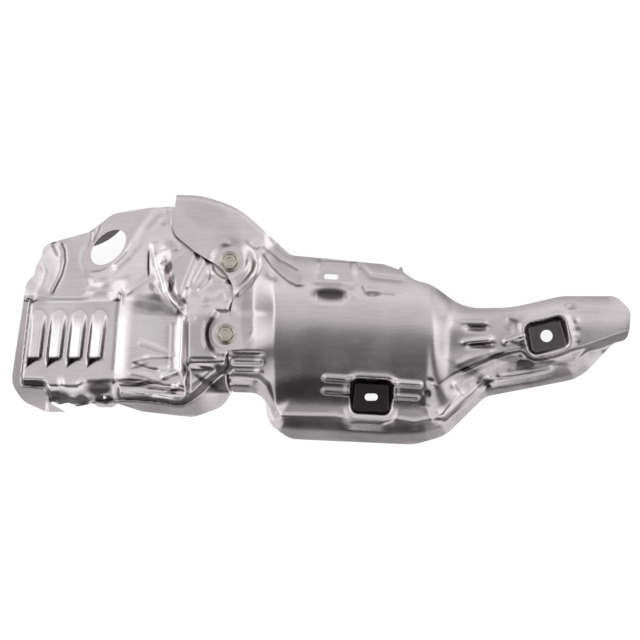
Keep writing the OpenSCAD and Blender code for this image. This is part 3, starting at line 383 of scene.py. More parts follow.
turboCover = {
    "cell": 0.75,
    "corners": [(172, 206.5, 0), (150, 207.5, 20), (113, 213.5, 20), (97, 226, 10), (89, 232, 8),
        (58, 240.5, 14), (44, 244.5, 10), (40, 257, 4), (35, 266, 4), (33, 275, 3), (25, 282, 14),
        (8, 384, 24), (20, 402.5, 24), (43, 412.8, 14), (63, 413, .4), (47, 404.3, 1), (49.5, 402.3, 1),
        (57, 405.5, 4), (66, 403.5, 5), (75, 407.5, 5), (83, 406, 4), (89.5, 403.5, 3), (96, 408, 4),
        (110, 408.5, 4), (115, 404.5, 4), (140, 412.5, 30), (192, 418.5, 24), (222, 407.5, 24),
        (233, 389, 6), (244, 380, 6), (246, 240, 14), (238, 222, 14)],
    "faceHeight": 30.0, "blockHeight": 34.4, "deckHeight": 27.5, "plateauHeight": 34.0, "lapHeight": 30.5,
    "rimHeight": [(240, 21.5), (300, 17), (345, 12.5), (384, 6.5), (410, 2.4)],
    "pitch": 20.3, "firstLouvre": (37.0, 333.8), "louvreLength": 51.0, "louvreWidth": 15.6,
        "louvreHeight": 4.6, "lean": 6.5, "louvreTilts": (0.2, 0.4, 0.5, 0.5),
    "crest": [(160, 200), (154, 236), (155, 252), (157.5, 264), (162, 277), (166, 290), (171, 300),
        (179, 308), (185.5, 318), (186.5, 400)],
    "seamFoot": [(118, 400), (125, 400.5), (145, 401.5), (165, 404), (174, 406.3), (182, 405.7),
        (190.5, 401.5), (199.6, 394.5), (208, 386), (217, 377.5), (228, 369.5), (250, 352)],
    "oval": at(108.2, 247.2), "ovalHalf": (16.0, 9.6),
    "blockStep": [(121.5, 296), (120.5, 304), (116.8, 350), (114.5, 378), (114, 400)],
    "blockEdge": [(119, 300), (140, 300.5), (158, 303.5), (172, 311), (186, 318)],
    "blockFacet": [(119, 3), (128, 6), (150, 9.5), (172, 6), (186, 2)], "facetSlope": 0.19,
    "leftWall": [(31.5, 300), (29, 320), (22, 376), (20, 400)],
    "crestWidth": [(230, 24), (262, 16), (300, 10), (318, 4.2), (378, 4.2)],
    "faceEdge": [(20, 379.5), (41, 380), (50, 384), (75, 384.5), (90, 379), (112, 378)],
    "tornWidth": [(20, 7), (41, 8), (50, 19), (75, 21), (92, 24), (112, 24)],
    "blockFoot": [(118, 378.5), (140, 379), (150, 382), (167, 384), (186, 385)],
    "recess": [(213, 313), (209, 318.5), (205.5, 326), (204.6, 335), (206, 345), (210.4, 352),
        (216, 358.5), (232, 359)],
    "folds": [
        # left flange folds
        (flangeCrease, 2.4, 2.4, -0.9, 0.6), ([(59, 256), (59.5, 268), (55.5, 280), (48, 293)], 2.6, 4,
        0.6, 0.1), ([(41, 262), (44, 272), (40, 285), (34, 297)], 5, 4, 0.7, 0.0),
        ([(52, 244), (58, 257)], 2.2, 2.2, -0.8, 0.5), ([(51, 241), (60, 246)], 3, 3, -0.6, 0.2),
        # fold beside the oval hole, its surround and the waves under it
        ([(101, 224.5), (95.5, 236.5)], 3, 2.4, -0.6, 0.4),
        ([(91, 228), (90.4, 240), (87.5, 248)], 3, 3, -0.5, 0.3),
        ([(96.5, 226), (92.5, 242)], 2.6, 2.6, 0.4, 0.2),
        ([(89, 245), (83.5, 252), (82, 261), (85, 270), (92, 276)], 5, 5, 0.45, 0.0),
        ([(86, 273.5), (100, 272.5), (116, 264.6)], 1.6, 2.4, -0.8, 0.3),
        ([(90, 280), (108, 283), (132, 279)], 7, 6, 0.8, 0.0), ([(86, 275), (88, 290)], 4, 5, -0.5, 0.0),
        ([(84, 291), (116, 292)], 4, 4, 0.45, 0.0),
        ([(170, 207), (156, 216), (147, 227), (137, 243), (127, 256), (112, 268)], 8, 6, 1.5, 0.0),
        # crease before the crest, the crest itself and the torn facets on its right
        ([(149.5, 247), (148.6, 262), (148.8, 277)], 2.6, 6, -1.1, 0.3),
        ([(154, 240), (154.5, 257)], 6, 6, 1.0, 0.1),
        ([(154, 252), (157.5, 264), (161.5, 277), (166, 290), (172, 302), (181, 313)], 5.5, 6.5, 2.0, 0.2),
        ([(166, 259), (170, 268), (171, 281)], 5, 5, -1.5, 0.3),
        ([(171, 282), (174, 291), (178, 298)], 4, 4, -1.0, 0.4),
        ([(158, 263), (163, 261)], 3, 3, 0.8, 0.3),
        ([(151, 281), (157, 286), (161, 295)], 4, 3, -1.0, 0.2),
        ([(123.3, 297), (135.8, 287.8), (161.5, 270.8), (187, 250.5)], 1.5, 1.5, 0.55, 0.8),
        ([(119, 294), (123, 297)], 3, 3, -0.9, 0.3),
        # ridges and valleys that run down from the lap
        ([(165, 222), (163, 240), (166, 252)], 7, 7, -1.1, 0.0),
        ([(172, 236), (178, 252)], 7, 7, 0.9, 0.0),
        ([(198, 252), (192, 266), (186, 281), (182, 293)], 4.0, 4.5, -0.7, 0.1),
        ([(204, 257), (196, 272), (188, 289)], 3.4, 3.4, 0.4, 0.1),
        ([(208.5, 260), (201, 272), (194, 284)], 3.6, 3.6, -0.6, 0.1),
        ([(214, 266), (204, 280), (193, 295)], 4, 4, 0.5, 0.1),
        ([(189, 286), (185, 298), (178.5, 306)], 3.6, 3.2, -1.5, 0.3),
        ([(212, 278), (204, 286), (196, 292)], 3.4, 4, -1.0, 0.3),
        ([(208.5, 268), (212, 277)], 3, 3, 0.7, 0.2), ([(223, 281), (231, 283)], 4, 4, -0.9, 0.2),
        ([(216, 272), (226, 281)], 3, 3.5, 0.6, 0.3),
        ([(226, 292), (214, 298), (200, 296)], 6, 6, 0.9, 0.0),
        ([(213, 309), (221, 313)], 3.5, 3.5, -0.8, 0.0), ([(232, 297), (224, 301)], 4, 4, -0.7, 0.0),
        ([(183, 304), (192, 315), (195, 322)], 4, 4, -0.9, 0.2),
        ([(186, 309), (196, 318)], 2.4, 3, 0.5, 0.3), ([(200, 305), (212, 303)], 4, 4, -0.7, 0.0),
        # block: ridge on its right, creases at its foot
        ([(173.5, 322), (172, 372)], 5, 4.5, -0.8, 0.0), ([(186.5, 318), (186, 374)], 2.5, 2.8, -1.8, 0.4),
        ([(182, 316), (181, 340), (180, 360), (179.5, 374)], 4.5, 4, 1.6, 0.2),
        ([(132, 361), (150, 357), (172, 356.5)], 2, 2.4, 0.7, 0.4),
        ([(131.5, 363), (141, 366.5), (150, 369.5), (161, 371)], 3, 2, -1.7, 0.5),
        ([(137, 341), (157, 348), (173, 356.4), (181, 361)], 5, 5, 0.7, 0.3),
        ([(160, 379), (171, 374), (181, 371)], 3, 4, 1.9, 0.4),
        ([(184, 360), (186.5, 368), (184, 380)], 2, 2, -1.8, 0.4),
        ([(171, 391), (178, 382)], 3, 2.6, 3.0, 0.4), ([(164, 390), (176, 392)], 2, 2, -1.5, 0.4),
        ([(128, 372), (145, 375.5), (165, 383)], 2.5, 2.5, 0.8, 0.4),
        # facets under the plateau and the slit
        ([(189, 358.5), (215, 358.8), (228, 357)], 2.2, 1.6, -1.3, 0.5),
        ([(187, 362), (209.5, 363.5)], 1.6, 1.6, 0.7, 0.4),
        ([(198, 365.8), (210, 366.4)], 1.5, 1.5, -0.9, 0.4), ([(186, 364), (212, 370)], 2, 3, 0.6, 0.5),
        ([(212, 370), (196, 381), (182, 391)], 2.5, 1.6, 0.9, 0.6),
        # lower bulge of the louvred face and the pleats of the torn edge
        ([(47, 381), (46, 392)], 5, 4, 1.2, 0.1), ([(61, 376), (62.5, 388)], 5, 4, 1.1, 0.1),
        ([(84, 378), (80, 388)], 7, 6, 0.9, 0.0), ([(52, 394), (60, 392), (68, 396)], 3, 3, -0.9, 0.2),
        ([(71, 395), (71, 405)], 4, 4, 1.2, 0.2), ([(79, 394), (80, 405)], 4.5, 4.5, -1.2, 0.2),
        ([(87, 394), (86, 405)], 3.6, 3.6, 1.3, 0.3), ([(94, 394), (97, 406)], 4, 4, -0.9, 0.2),
        ([(103, 394), (104, 405)], 5, 5, 1.6, 0.1), ([(112.5, 380), (113, 404)], 3.5, 3.5, 1.3, 0.2)],
    # patches of painted shade, and of painted highlight where the amount is below 0
    "paintedPatches": [(31, 383.5, 9, 4, 8, 0.97), (99, 388, 13, 7, -6, 0.86), (56, 396, 12, 4.5, 8, 0.8),
        (66, 401, 10, 4, 0, 0.8), (80, 401, 6, 5, 0, 0.85), (102, 400, 8, 5, 0, 0.8),
        (49, 400, 4, 4, 0, 0.9), (150, 382, 19, 2.6, -11, 0.85), (128, 380.5, 12, 2.6, 0, 0.7),
        (174, 390.5, 5, 2, -12, 0.85), (174, 403, 10, 2.6, 0, 0.85), (145, 399.6, 20, 2.2, 0, 0.7),
        (221, 369.5, 8, 4.2, 37, 0.95), (204, 381, 13, 2.6, 34, 0.85), (168.5, 268, 3.6, 6.5, 12, 0.85),
        (171.5, 283, 3.4, 9, 8, 0.7), (182.5, 299, 2, 6.5, -38, 0.8), (197, 256, 2.4, 5, -18, 0.7),
        (207, 262, 2, 4, -20, 0.65), (228, 282, 3.5, 2.4, 10, 0.6), (149, 263, 1.0, 14, 0, 0.6),
        (183.5, 371, 1.8, 8, 0, 0.6), (140, 366, 9, 1.6, -18, 0.55), (53, 242.5, 2.4, 1.4, 0, 0.7),
        (91.5, 230.2, 2.6, 1.2, 12, 0.6), (152, 287, 2.4, 4.5, -20, 0.5),
        (47, 386.5, 4.5, 2.2, -28, -0.95), (62, 382, 2.2, 4, 0, -1.0), (74, 386, 9, 5, 0, -0.35),
        (103, 398, 1.8, 1.8, 0, -1.0), (176, 386.5, 3, 2.6, 0, -1.0), (147, 356.5, 4, 2, 0, -0.7),
        (158, 262, 3.2, 6, 10, -1.0), (166, 287, 3, 5, 20, -1.0), (206, 336, 19, 24, 0, 0.2),
        (40, 280, 16, 26, 15, 0.25), (158, 307, 28, 9, 0, 0.3), (20, 340, 8, 50, 6, 0.05),
        (150, 330, 14, 26, 0, -0.15)],
    # lines of painted shade along creases and hollows, and of painted highlight where the amount is below 0
    "paintedLines": [([(149.2, 250), (148.6, 262), (148.8, 277)], 1.3, 0.65),
        ([(119, 298), (116.8, 310), (115, 340), (112.5, 372)], 1.8, 0.4),
        ([(213, 316), (208.5, 326), (207.5, 336), (209, 346), (213, 352)], 3.8, 0.62),
        ([(205, 320), (202.5, 329), (202.5, 340), (205, 349)], 1.2, -0.5),
        ([(187, 320), (187, 345), (187.5, 374)], 2.0, 0.6),
        ([(31, 303), (28, 326), (23.5, 360), (22, 376)], 1.6, -0.6),
        (flangeCrease[:-1] + [(51.5, 295)], 1.2, 0.85), ([(52, 244), (58, 257)], 1.1, 0.7),
        ([(101, 225), (96, 235), (93, 243)], 1.1, 0.5), ([(91, 229), (90.5, 240), (87, 250)], 1.1, 0.35),
        ([(46, 301.5), (80, 301), (116, 300)], 1.6, -0.5), ([(24, 378.2), (44, 377.8)], 1.4, -0.9),
        ([(122, 316), (119.8, 345), (118, 374)], 4.2, -0.8),
        ([(181, 317), (179.5, 345), (178.5, 372)], 2.8, -0.95),
        ([(154.5, 258), (158, 270), (163, 284), (170, 297), (176, 306)], 3.2, -0.4),
        ([(157, 238), (156, 256)], 5, -0.35), ([(150, 397.6), (162, 396.8), (174, 397.5)], 2.2, -1.0),
        ([(160, 375), (170, 374.5), (179, 373.5)], 2.6, -0.9), ([(150, 380.5), (164, 379.5)], 2, -0.8),
        ([(157, 368), (170, 367)], 2, -0.7), ([(136, 362), (143, 362.5)], 1.8, -0.8),
        ([(86, 263), (95, 268.5), (108, 267), (121, 258)], 3, -0.15),
        ([(92, 280), (110, 283), (130, 280)], 5, -0.08),
        ([(42, 262), (44.5, 272), (40, 285), (34, 297)], 2.6, -0.15), ([(170, 324), (171, 370)], 5, 0.2),
        ([(112.3, 385), (112.6, 403)], 1.6, -0.5), ([(185, 287), (180, 300)], 2, -0.3)],
}

# height of the louvres over the face, and their painted light: painted shade on the sides and mouths,
# painted highlights on the tops
def louvreShape(u, v):
    c = turboCover
    high, louvrePaintedLight, louvreHighlight = np.zeros(np.shape(u)), np.zeros(np.shape(u)), np.zeros(np.shape(u))
    for i, tilt in enumerate(c["louvreTilts"]):
        p, q = turned(u, v, (c["firstLouvre"][0] + i * c["pitch"], c["firstLouvre"][1]), c["lean"])
        half, w = c["louvreLength"] / 2, c["louvreWidth"] / 2
        end = half - 1.8  # the bright top stops here, and the mouth runs on to a tip at the left
        tip = end + 12.0 * np.clip((w - 0.8 - p) / (2 * w - 1.6), 0, 1) ** 1.3
        side = np.where(q < -half + w, np.hypot(p, q + half - w), np.abs(p))
        wall = np.where(p < 0, ease(w, w - 1.6, side), ease(w, w - 3.4, side))
        top = mix(1 - tilt, 1, np.clip((p + w) / (2 * w - 4), 0, 1))
        ramp = 0.78 * ease(-half - 2, -half + 21, q) + 0.22 * ease(-half + 10, end, q)
        fall = np.clip((tip - q) / np.maximum(tip - end, 0.6), 0, 1)
        high = np.maximum(high, c["louvreHeight"] * wall * top * ramp * ease(0, 1, fall))
        # painted shade in each louvre's mouth, along its right side and round its outline
        mouthShade = ease(w - 0.2, w - 1.4, np.abs(p)) * ease(end - 1.6, end + 1.6, q) * ease(tip + 0.6,
            tip - 1.0, q)
        flank = ease(w - 4.6, w - 1.0, p) * ease(w + 1.1, w, p)
        flank = flank * ease(-half * 0.75, -half * 0.1, q) * ease(end + 3, end - 1, q)
        outline = bell(side - w + 0.4, 1.1) * (q < end + 2)
        louvrePaintedLight = np.maximum.reduce([louvrePaintedLight, 0.97 * mouthShade, 0.62 * flank, 0.22 * outline])
        # painted highlight on the louvre's top
        paintedHighlightAmount = ease(w - 2, w - 5, np.abs(p + 1.0)) * ease(-half + 8, -half + 19, q) * ease(end, end - 3,
            q)
        louvreHighlight = np.maximum(louvreHighlight, (0.3 + 1.4 * tilt if i else 0.25) * paintedHighlightAmount)
    return high, louvrePaintedLight - louvreHighlight

def turboHeight(x, y):
    c = turboCover
    u, v = toUnits(x, y)
    rim = curveX(v, c["rimHeight"], 20)
    # deck: level round the oval hole, rising to the crest, and low right of it under the other cover
    s = ((u - 100) * 71 + (v - 276) * 68) / 98.3
    deck = c["deckHeight"] + 2.6 * ease(0, 9, s) + 6.4 * ease(6, 34, s) * ease(104, 126, u)
    deck = deck + 2.4 * ease(0, 18, ((u - 122) * 46 + (v - 296.5) * 65) / 79.6)
    bent = alongPath(u, v, [(56, 236)] + flangeCrease + [(44, 303)])[0]
    deck = mix(deck, rim, ease(0, 34, bent))
    # louvred face and block, with the fall from the deck to the block's upper edge
    face = c["faceHeight"] + 0.010 * (u - 30)
    block = c["blockHeight"] - 0.9 * ((u - 150) / 34) ** 2 * (u > 150)
    step = alongPath(u, v, c["blockStep"])[0]
    lower = np.where(step > 0, face, mix(face, block, rise(-step, 17)))
    upperEdge = np.where(u < 119, 300.5 + 3.0 * ease(40, 30, u) - 0.3 * ease(90, 118, u),
        alongX(u, c["blockEdge"]))
    fall = alongX(u, c["blockFacet"])
    below = v - upperEdge
    top = lower + c["facetSlope"] * fall
    facet = np.where(below < 0, mix(deck, top, ease(-14, 0, below)),
        lower + c["facetSlope"] * np.maximum(fall - below, 0))
    z = mix(mix(deck, lower, ease(-2.6, 0.8, below)), facet, ease(117, 121, u))
    z = z + 0.35 * np.exp(-((below - 0.6) / 1.9) ** 2) * ease(33, 38, u) * ease(119, 114, u)
    # wall on the left, down to the sloping rim
    wall = alongPath(u, v, c["leftWall"])[0]
    z = mix(z, rim, ease(0.2, 2.4, wall) * ease(296, 301, v))
    # plateau and crumpled ground right of the crest
    ground = mix(c["lapHeight"] - 1.5 * ease(238, 225, v), c["plateauHeight"], ease(294, 318, v))
    crest = -alongPath(u, v, c["crest"])[0]
    wide = alongX(v, c["crestWidth"])
    soft, firm = ease(0, 1, crest / wide), np.clip(crest / wide, 0, 1) ** 0.75
    z = mix(z, ground, mix(soft, firm, ease(300, 318, v)))
    # lower edge: face and block fall to the torn edge, the flange and the facets under the plateau
    low = np.where(u < 118, alongX(u, c["faceEdge"]), alongX(u, c["blockFoot"]))
    span = np.where(u < 118, alongX(u, c["tornWidth"]), 8.0)
    t = np.clip((v - low) / span, 0, 1)
    torn = mix(z, np.where(u < 44, np.minimum(rim, z), 4.0),
        mix(1 - (1 - t) ** 1.35, t ** 1.5, ease(43, 50, u)))
    band = mix(z, 28.0, ease(0, 1, t)) + 2.4 * ease(389, 397, v)
    plate = mix(z, 25.5 - 0.13 * (v - 372), ease(357, 372, v))
    under = np.where(u < 118, torn, mix(band, plate, ease(185, 190, u)))
    foot = -alongPath(u, v, c["seamFoot"])[0]
    flange = mix(2.0 + 0.22 * mmPerUnit * np.maximum(417 - v, 0),
        2.0 + 0.9 * mmPerUnit * np.maximum(393.3 - v, 0), ease(192, 224, u))
    under = np.where(u < 118, under, mix(flange, under, np.clip(foot / 7.0, 0, 1) ** 0.85))
    z = np.where(v > 350, under, z)
    z = z + louvreShape(u, v)[0]
    p, q = turned(x, y, c["oval"], 45)
    fromOval = np.hypot(p / (c["ovalHalf"][0] + 2.5), q / (c["ovalHalf"][1] + 2.5))
    z = z + folded(u, v, c["folds"]) * ease(0.97, 1.12, fromOval)
    z = np.maximum(z, sheetThickness + 0.2)
    # where the other cover laps over it, the sheet follows that cover's inner face
    over = converterHeight(x, y)
    near = 0.5
    sx, sy = (converterHeight(x + near, y) - over) / near, (converterHeight(x, y + near) - over) / near
    slope = np.sqrt(1 + sx ** 2 + sy ** 2)
    outside = alongPath(x, y, seamLine)[0]  # positive beyond the other cover's edge
    lap = ease(1.9, 1.0, outside) * ease(96, 90, y)
    inner = over - sheetThickness * np.minimum(slope, 3) - 0.8
    z = mix(z, np.minimum(z, np.maximum(inner, sheetThickness)), lap)
    recess = alongPath(u, v, c["recess"])[0]
    sunk = mix(c["plateauHeight"], bolts["lowerSeat"] - sheetThickness, np.clip(-recess / 6.0, 0, 1) ** 0.8)
    z = np.where((recess < 0) & (u > 203) & (v > 311) & (v < 360), np.minimum(z, sunk), z)
    for key, inner in (("lower", 4.5), ("upper", 4)):
        far = np.hypot(x - bolts[key][0], y - bolts[key][1]) - bolts["flange"] / 2
        z = mix(z, bolts[key + "Seat"] - sheetThickness, ease(6.5, inner, far))
    return z

def turboTone(x, y, slope):  # the same for the left cover, with the lap's shade and the louvres
    c = turboCover
    u, v = toUnits(x, y)
    outside = alongPath(x, y, seamLine)[0]
    lapShade = 0.75 * ease(3.4, 0.6, outside) * (outside > -1) * ease(232, 246, v) * ease(300, 282, v)
    louvrePaintedLight = louvreShape(u, v)[1]
    # painted shade on steep walls, then the painted patches and lines
    tone = 0.8 * ease(1.2, 2.4, slope) + paintedPatchTone(u, v, c["paintedPatches"]) + paintedLineTone(u, v, c["paintedLines"])
    return np.clip(tone + lapShade + louvrePaintedLight, -1, 1)

def nearestOnLines(x, y, lines):  # nearest point of some closed lines for each point
    best = np.full(x.shape, 1e9)
    bx, by = x.copy(), y.copy()
    for a, b in [pair for line in lines for pair in zip(line, np.roll(line, -1, axis=0))]:
        dx, dy = b - a
        t = np.clip(((x - a[0]) * dx + (y - a[1]) * dy) / max(dx * dx + dy * dy, 1e-12), 0, 1)
        qx, qy = a[0] + t * dx, a[1] + t * dy
        d = np.hypot(x - qx, y - qy)
        near = d < best
        best = np.where(near, d, best)
        bx = np.where(near, qx, bx)
        by = np.where(near, qy, by)
    return bx, by

def insideLine(x, y, line):  # even-odd crossings of a ray towards -x
    hit = np.zeros(x.shape, bool)
    for (x1, y1), (x2, y2) in zip(line, np.roll(line, -1, axis=0)):
        if y1 != y2:
            hit ^= ((y1 > y) != (y2 > y)) & (x < (x2 - x1) * (y - y1) / (y2 - y1) + x1)
    return hit

def placedLine(u, v, c, degrees):  # closed line from its own coordinates, turned and set about c
    u, v = turned(u, v, (0, 0), -degrees)
    return np.stack([c[0] + u, c[1] + v], axis=1)

def ovalLine(c, half, degrees, count=72):  # closed ellipse
    t = np.linspace(0, 2 * np.pi, count, endpoint=False)
    return placedLine(half[0] * np.cos(t), half[1] * np.sin(t), c, degrees)

def slotLine(c, size, degrees, count=24):  # closed slot with round ends
    r, reach = size[1] / 2, (size[0] - size[1]) / 2
    t = np.linspace(-np.pi / 2, np.pi / 2, count)
    u = np.concatenate([reach + r * np.cos(t), -reach - r * np.cos(t)])
    v = np.concatenate([r * np.sin(t), -r * np.sin(t)])
    return placedLine(u, v, c, degrees)

def softField(height, low, high, step=0.5, soft=0.65):
    # the height on a fine grid, blurred by a bell about as wide as the sheet: steel bends no sharper
    low, high = low - 2, high + 2
    x, y = np.meshgrid(np.arange(low[0], high[0], step), np.arange(low[1], high[1], step), indexing="ij")
    z = height(x, y)
    reach = int(3 * soft / step)
    weights = np.exp(-0.5 * (np.arange(-reach, reach + 1) * step / soft) ** 2)
    weights = weights / weights.sum()
    for axis in (0, 1):
        padded = np.pad(z, [(reach, reach) if k == axis else (0, 0) for k in (0, 1)], mode="edge")
        z = sum(w * np.take(padded, range(k, k + z.shape[axis]), axis=axis) for k, w in enumerate(weights))
    def surface(px, py):
        u, v = (px - low[0]) / step, (py - low[1]) / step
        i, j = np.clip(u.astype(int), 0, z.shape[0] - 2), np.clip(v.astype(int), 0, z.shape[1] - 2)
        s, t = u - i, v - j
        return mix(mix(z[i, j], z[i + 1, j], s), mix(z[i, j + 1], z[i + 1, j + 1], s), t)
    return surface

def pressedSheet(name, height, tone, outline, holes, cell):
    # the surface z = height(x, y) on a square grid; cells with their middle outside the outline or in a hole
    # are left out, and the points along each cut are moved onto its line, so every cut edge is smooth
    low, high = outline.min(axis=0) - cell, outline.max(axis=0) + cell
    nx, ny = (np.ceil((high - low) / cell)).astype(int)
    x, y = np.meshgrid(low[0] + cell * np.arange(nx + 1), low[1] + cell * np.arange(ny + 1), indexing="ij")
    mx, my = x[:-1, :-1] + cell / 2, y[:-1, :-1] + cell / 2
    keep = insideLine(mx, my, outline)
    for line in holes:
        keep &= ~insideLine(mx, my, line)
    pad = np.pad(keep, 1)
    touching = pad[:-1, :-1].astype(int) + pad[1:, :-1] + pad[:-1, 1:] + pad[1:, 1:]
    rim = (touching > 0) & (touching < 4)
    x[rim], y[rim] = nearestOnLines(x[rim], y[rim], [outline] + holes)
    for _ in range(3):  # points next to a cut follow it a little
        sx, sy = x.copy(), y.copy()
        sx[1:-1, 1:-1] = (x[:-2, 1:-1] + x[2:, 1:-1] + x[1:-1, :-2] + x[1:-1, 2:]) / 4
        sy[1:-1, 1:-1] = (y[:-2, 1:-1] + y[2:, 1:-1] + y[1:-1, :-2] + y[1:-1, 2:]) / 4
        nearRim = np.zeros(x.shape, bool)
        for i, j in ((0, 1), (1, 0), (0, -1), (-1, 0), (1, 1), (-1, -1), (1, -1), (-1, 1)):
            nearRim |= np.roll(rim, (i, j), (0, 1))
        move = nearRim & ~rim & (touching == 4)
        x[move], y[move] = sx[move], sy[move]
    used = touching > 0
    index = np.full(x.shape, -1)
    index[used] = np.arange(used.sum())
    px, py = x[used], y[used]
    surface = softField(height, low, high)
    z = surface(px, py)
    near = 0.4
    gx = (surface(px + near, py) - surface(px - near, py)) / (2 * near)
    gy = (surface(px, py + near) - surface(px, py - near)) / (2 * near)
    under = z - sheetThickness * np.minimum(np.sqrt(1 + gx * gx + gy * gy), 3)
    under = np.maximum(under, 0.0)
    count = len(px)
    points = np.concatenate([np.stack([px, py, z], axis=1), np.stack([px, py, under], axis=1)]) / 1000
    a, b, c, d = index[:-1, :-1][keep], index[1:, :-1][keep], index[1:, 1:][keep], index[:-1, 1:][keep]
    quads = [np.stack([a, b, c, d], axis=1), np.stack([a, d, c, b], axis=1) + count]
    left, right = keep & ~pad[:-2, 1:-1], keep & ~pad[2:, 1:-1]
    front, back = keep & ~pad[1:-1, :-2], keep & ~pad[1:-1, 2:]
    for mask, p, q in ((left, index[:-1, 1:], index[:-1, :-1]), (right, index[1:, :-1], index[1:, 1:]),
            (front, index[:-1, :-1], index[1:, :-1]), (back, index[1:, 1:], index[:-1, 1:])):
        s, t = p[mask], q[mask]
        quads.append(np.stack([t, s, s + count, t + count], axis=1))
    mesh = bpy.data.meshes.new(name)
    mesh.from_pydata(points.tolist(), [], np.concatenate(quads).tolist())
    mesh.update()
    # this attribute holds painted shade above 0 and painted highlight below 0 for each point
    paintedShadeAndHighlight = mesh.attributes.new("paintedShadeAndHighlight", "FLOAT", "POINT")
    steep = np.hypot(gx, gy)
    # painted shade on the underside, fading up the cut edges
    innerPaintedShade = np.full(count, 0.35)
    paintedShadeAndHighlight.data.foreach_set("value", np.concatenate([tone(px, py, steep), innerPaintedShade]).astype(np.float32))
    mesh.shade_smooth()
    mesh.set_sharp_from_angle(angle=np.radians(50))
    piece = bpy.data.objects.new(name, mesh)
    bpy.context.scene.collection.objects.link(piece)
    print(name, len(points), "points", len(mesh.polygons), "faces")
    return piece

converterOutline = np.vstack([roundedLine(converterCover["corners"]), ear,
    roundedLine(converterCover["seam"])[1:]])
turboOutline = roundedLine(turboCover["corners"])
boltHoles = [ovalLine(bolts[key], (bolts["hole"] / 2, bolts["hole"] / 2), 0) for key in ("upper", "lower")]
converterHoles = boltHoles + [
    slotLine(converterCover["pad"], converterCover["slot"], 0),
    slotLine(converterCover["tabSlotAt"], converterCover["tabSlot"], -3),
    ovalLine(converterCover["snoutPad"], (converterCover["hole"] / 2,) * 2, 0)]
turboHoles = boltHoles + [ovalLine(turboCover["oval"], turboCover["ovalHalf"], 45)]

converterPiece = pressedSheet("converterSkin", converterHeight, converterTone, converterOutline,
    converterHoles, converterCover["cell"])
turboPiece = pressedSheet("turboSkin", turboHeight, turboTone, turboOutline, turboHoles, turboCover["cell"])
for piece, node in ((converterPiece, "converter_cover"), (turboPiece, "turbo_cover")):
    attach(piece, "root")
    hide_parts(node)
print("covers done")

def fromHex(text):  # sRGB hex to linear red, green, blue, alpha
    c = np.array([int(text[i:i + 2], 16) / 255 for i in (1, 3, 5)])
    return (*np.where(c <= 0.04045, c / 12.92, ((c + 0.055) / 1.055) ** 2.4), 1.0)

def addNode(tree, kind, settings={}, links={}):  # one node with its settings, and its inputs linked or set
    node = tree.nodes.new(kind)
    for key, value in settings.items():
        setattr(node, key, value)
    for key, value in links.items():
        if isinstance(value, bpy.types.NodeSocket):
            tree.links.new(value, node.inputs[key])
        else:
            node.inputs[key].default_value = value
    return node

def newMaterial(name):
    material = bpy.data.materials.new(name)
    material.use_nodes = True
    tree = material.node_tree
    tree.nodes.clear()
    return material, tree

def ramp(tree, value, stops):  # colour ramp through (position, hex)
    node = addNode(tree, "ShaderNodeValToRGB", {}, {"Fac": value})
    while len(node.color_ramp.elements) < len(stops):
        node.color_ramp.elements.new(0.5)
    for element, (position, colour) in zip(node.color_ramp.elements, stops):
        element.position = position
        element.color = fromHex(colour)
    return node.outputs["Color"]

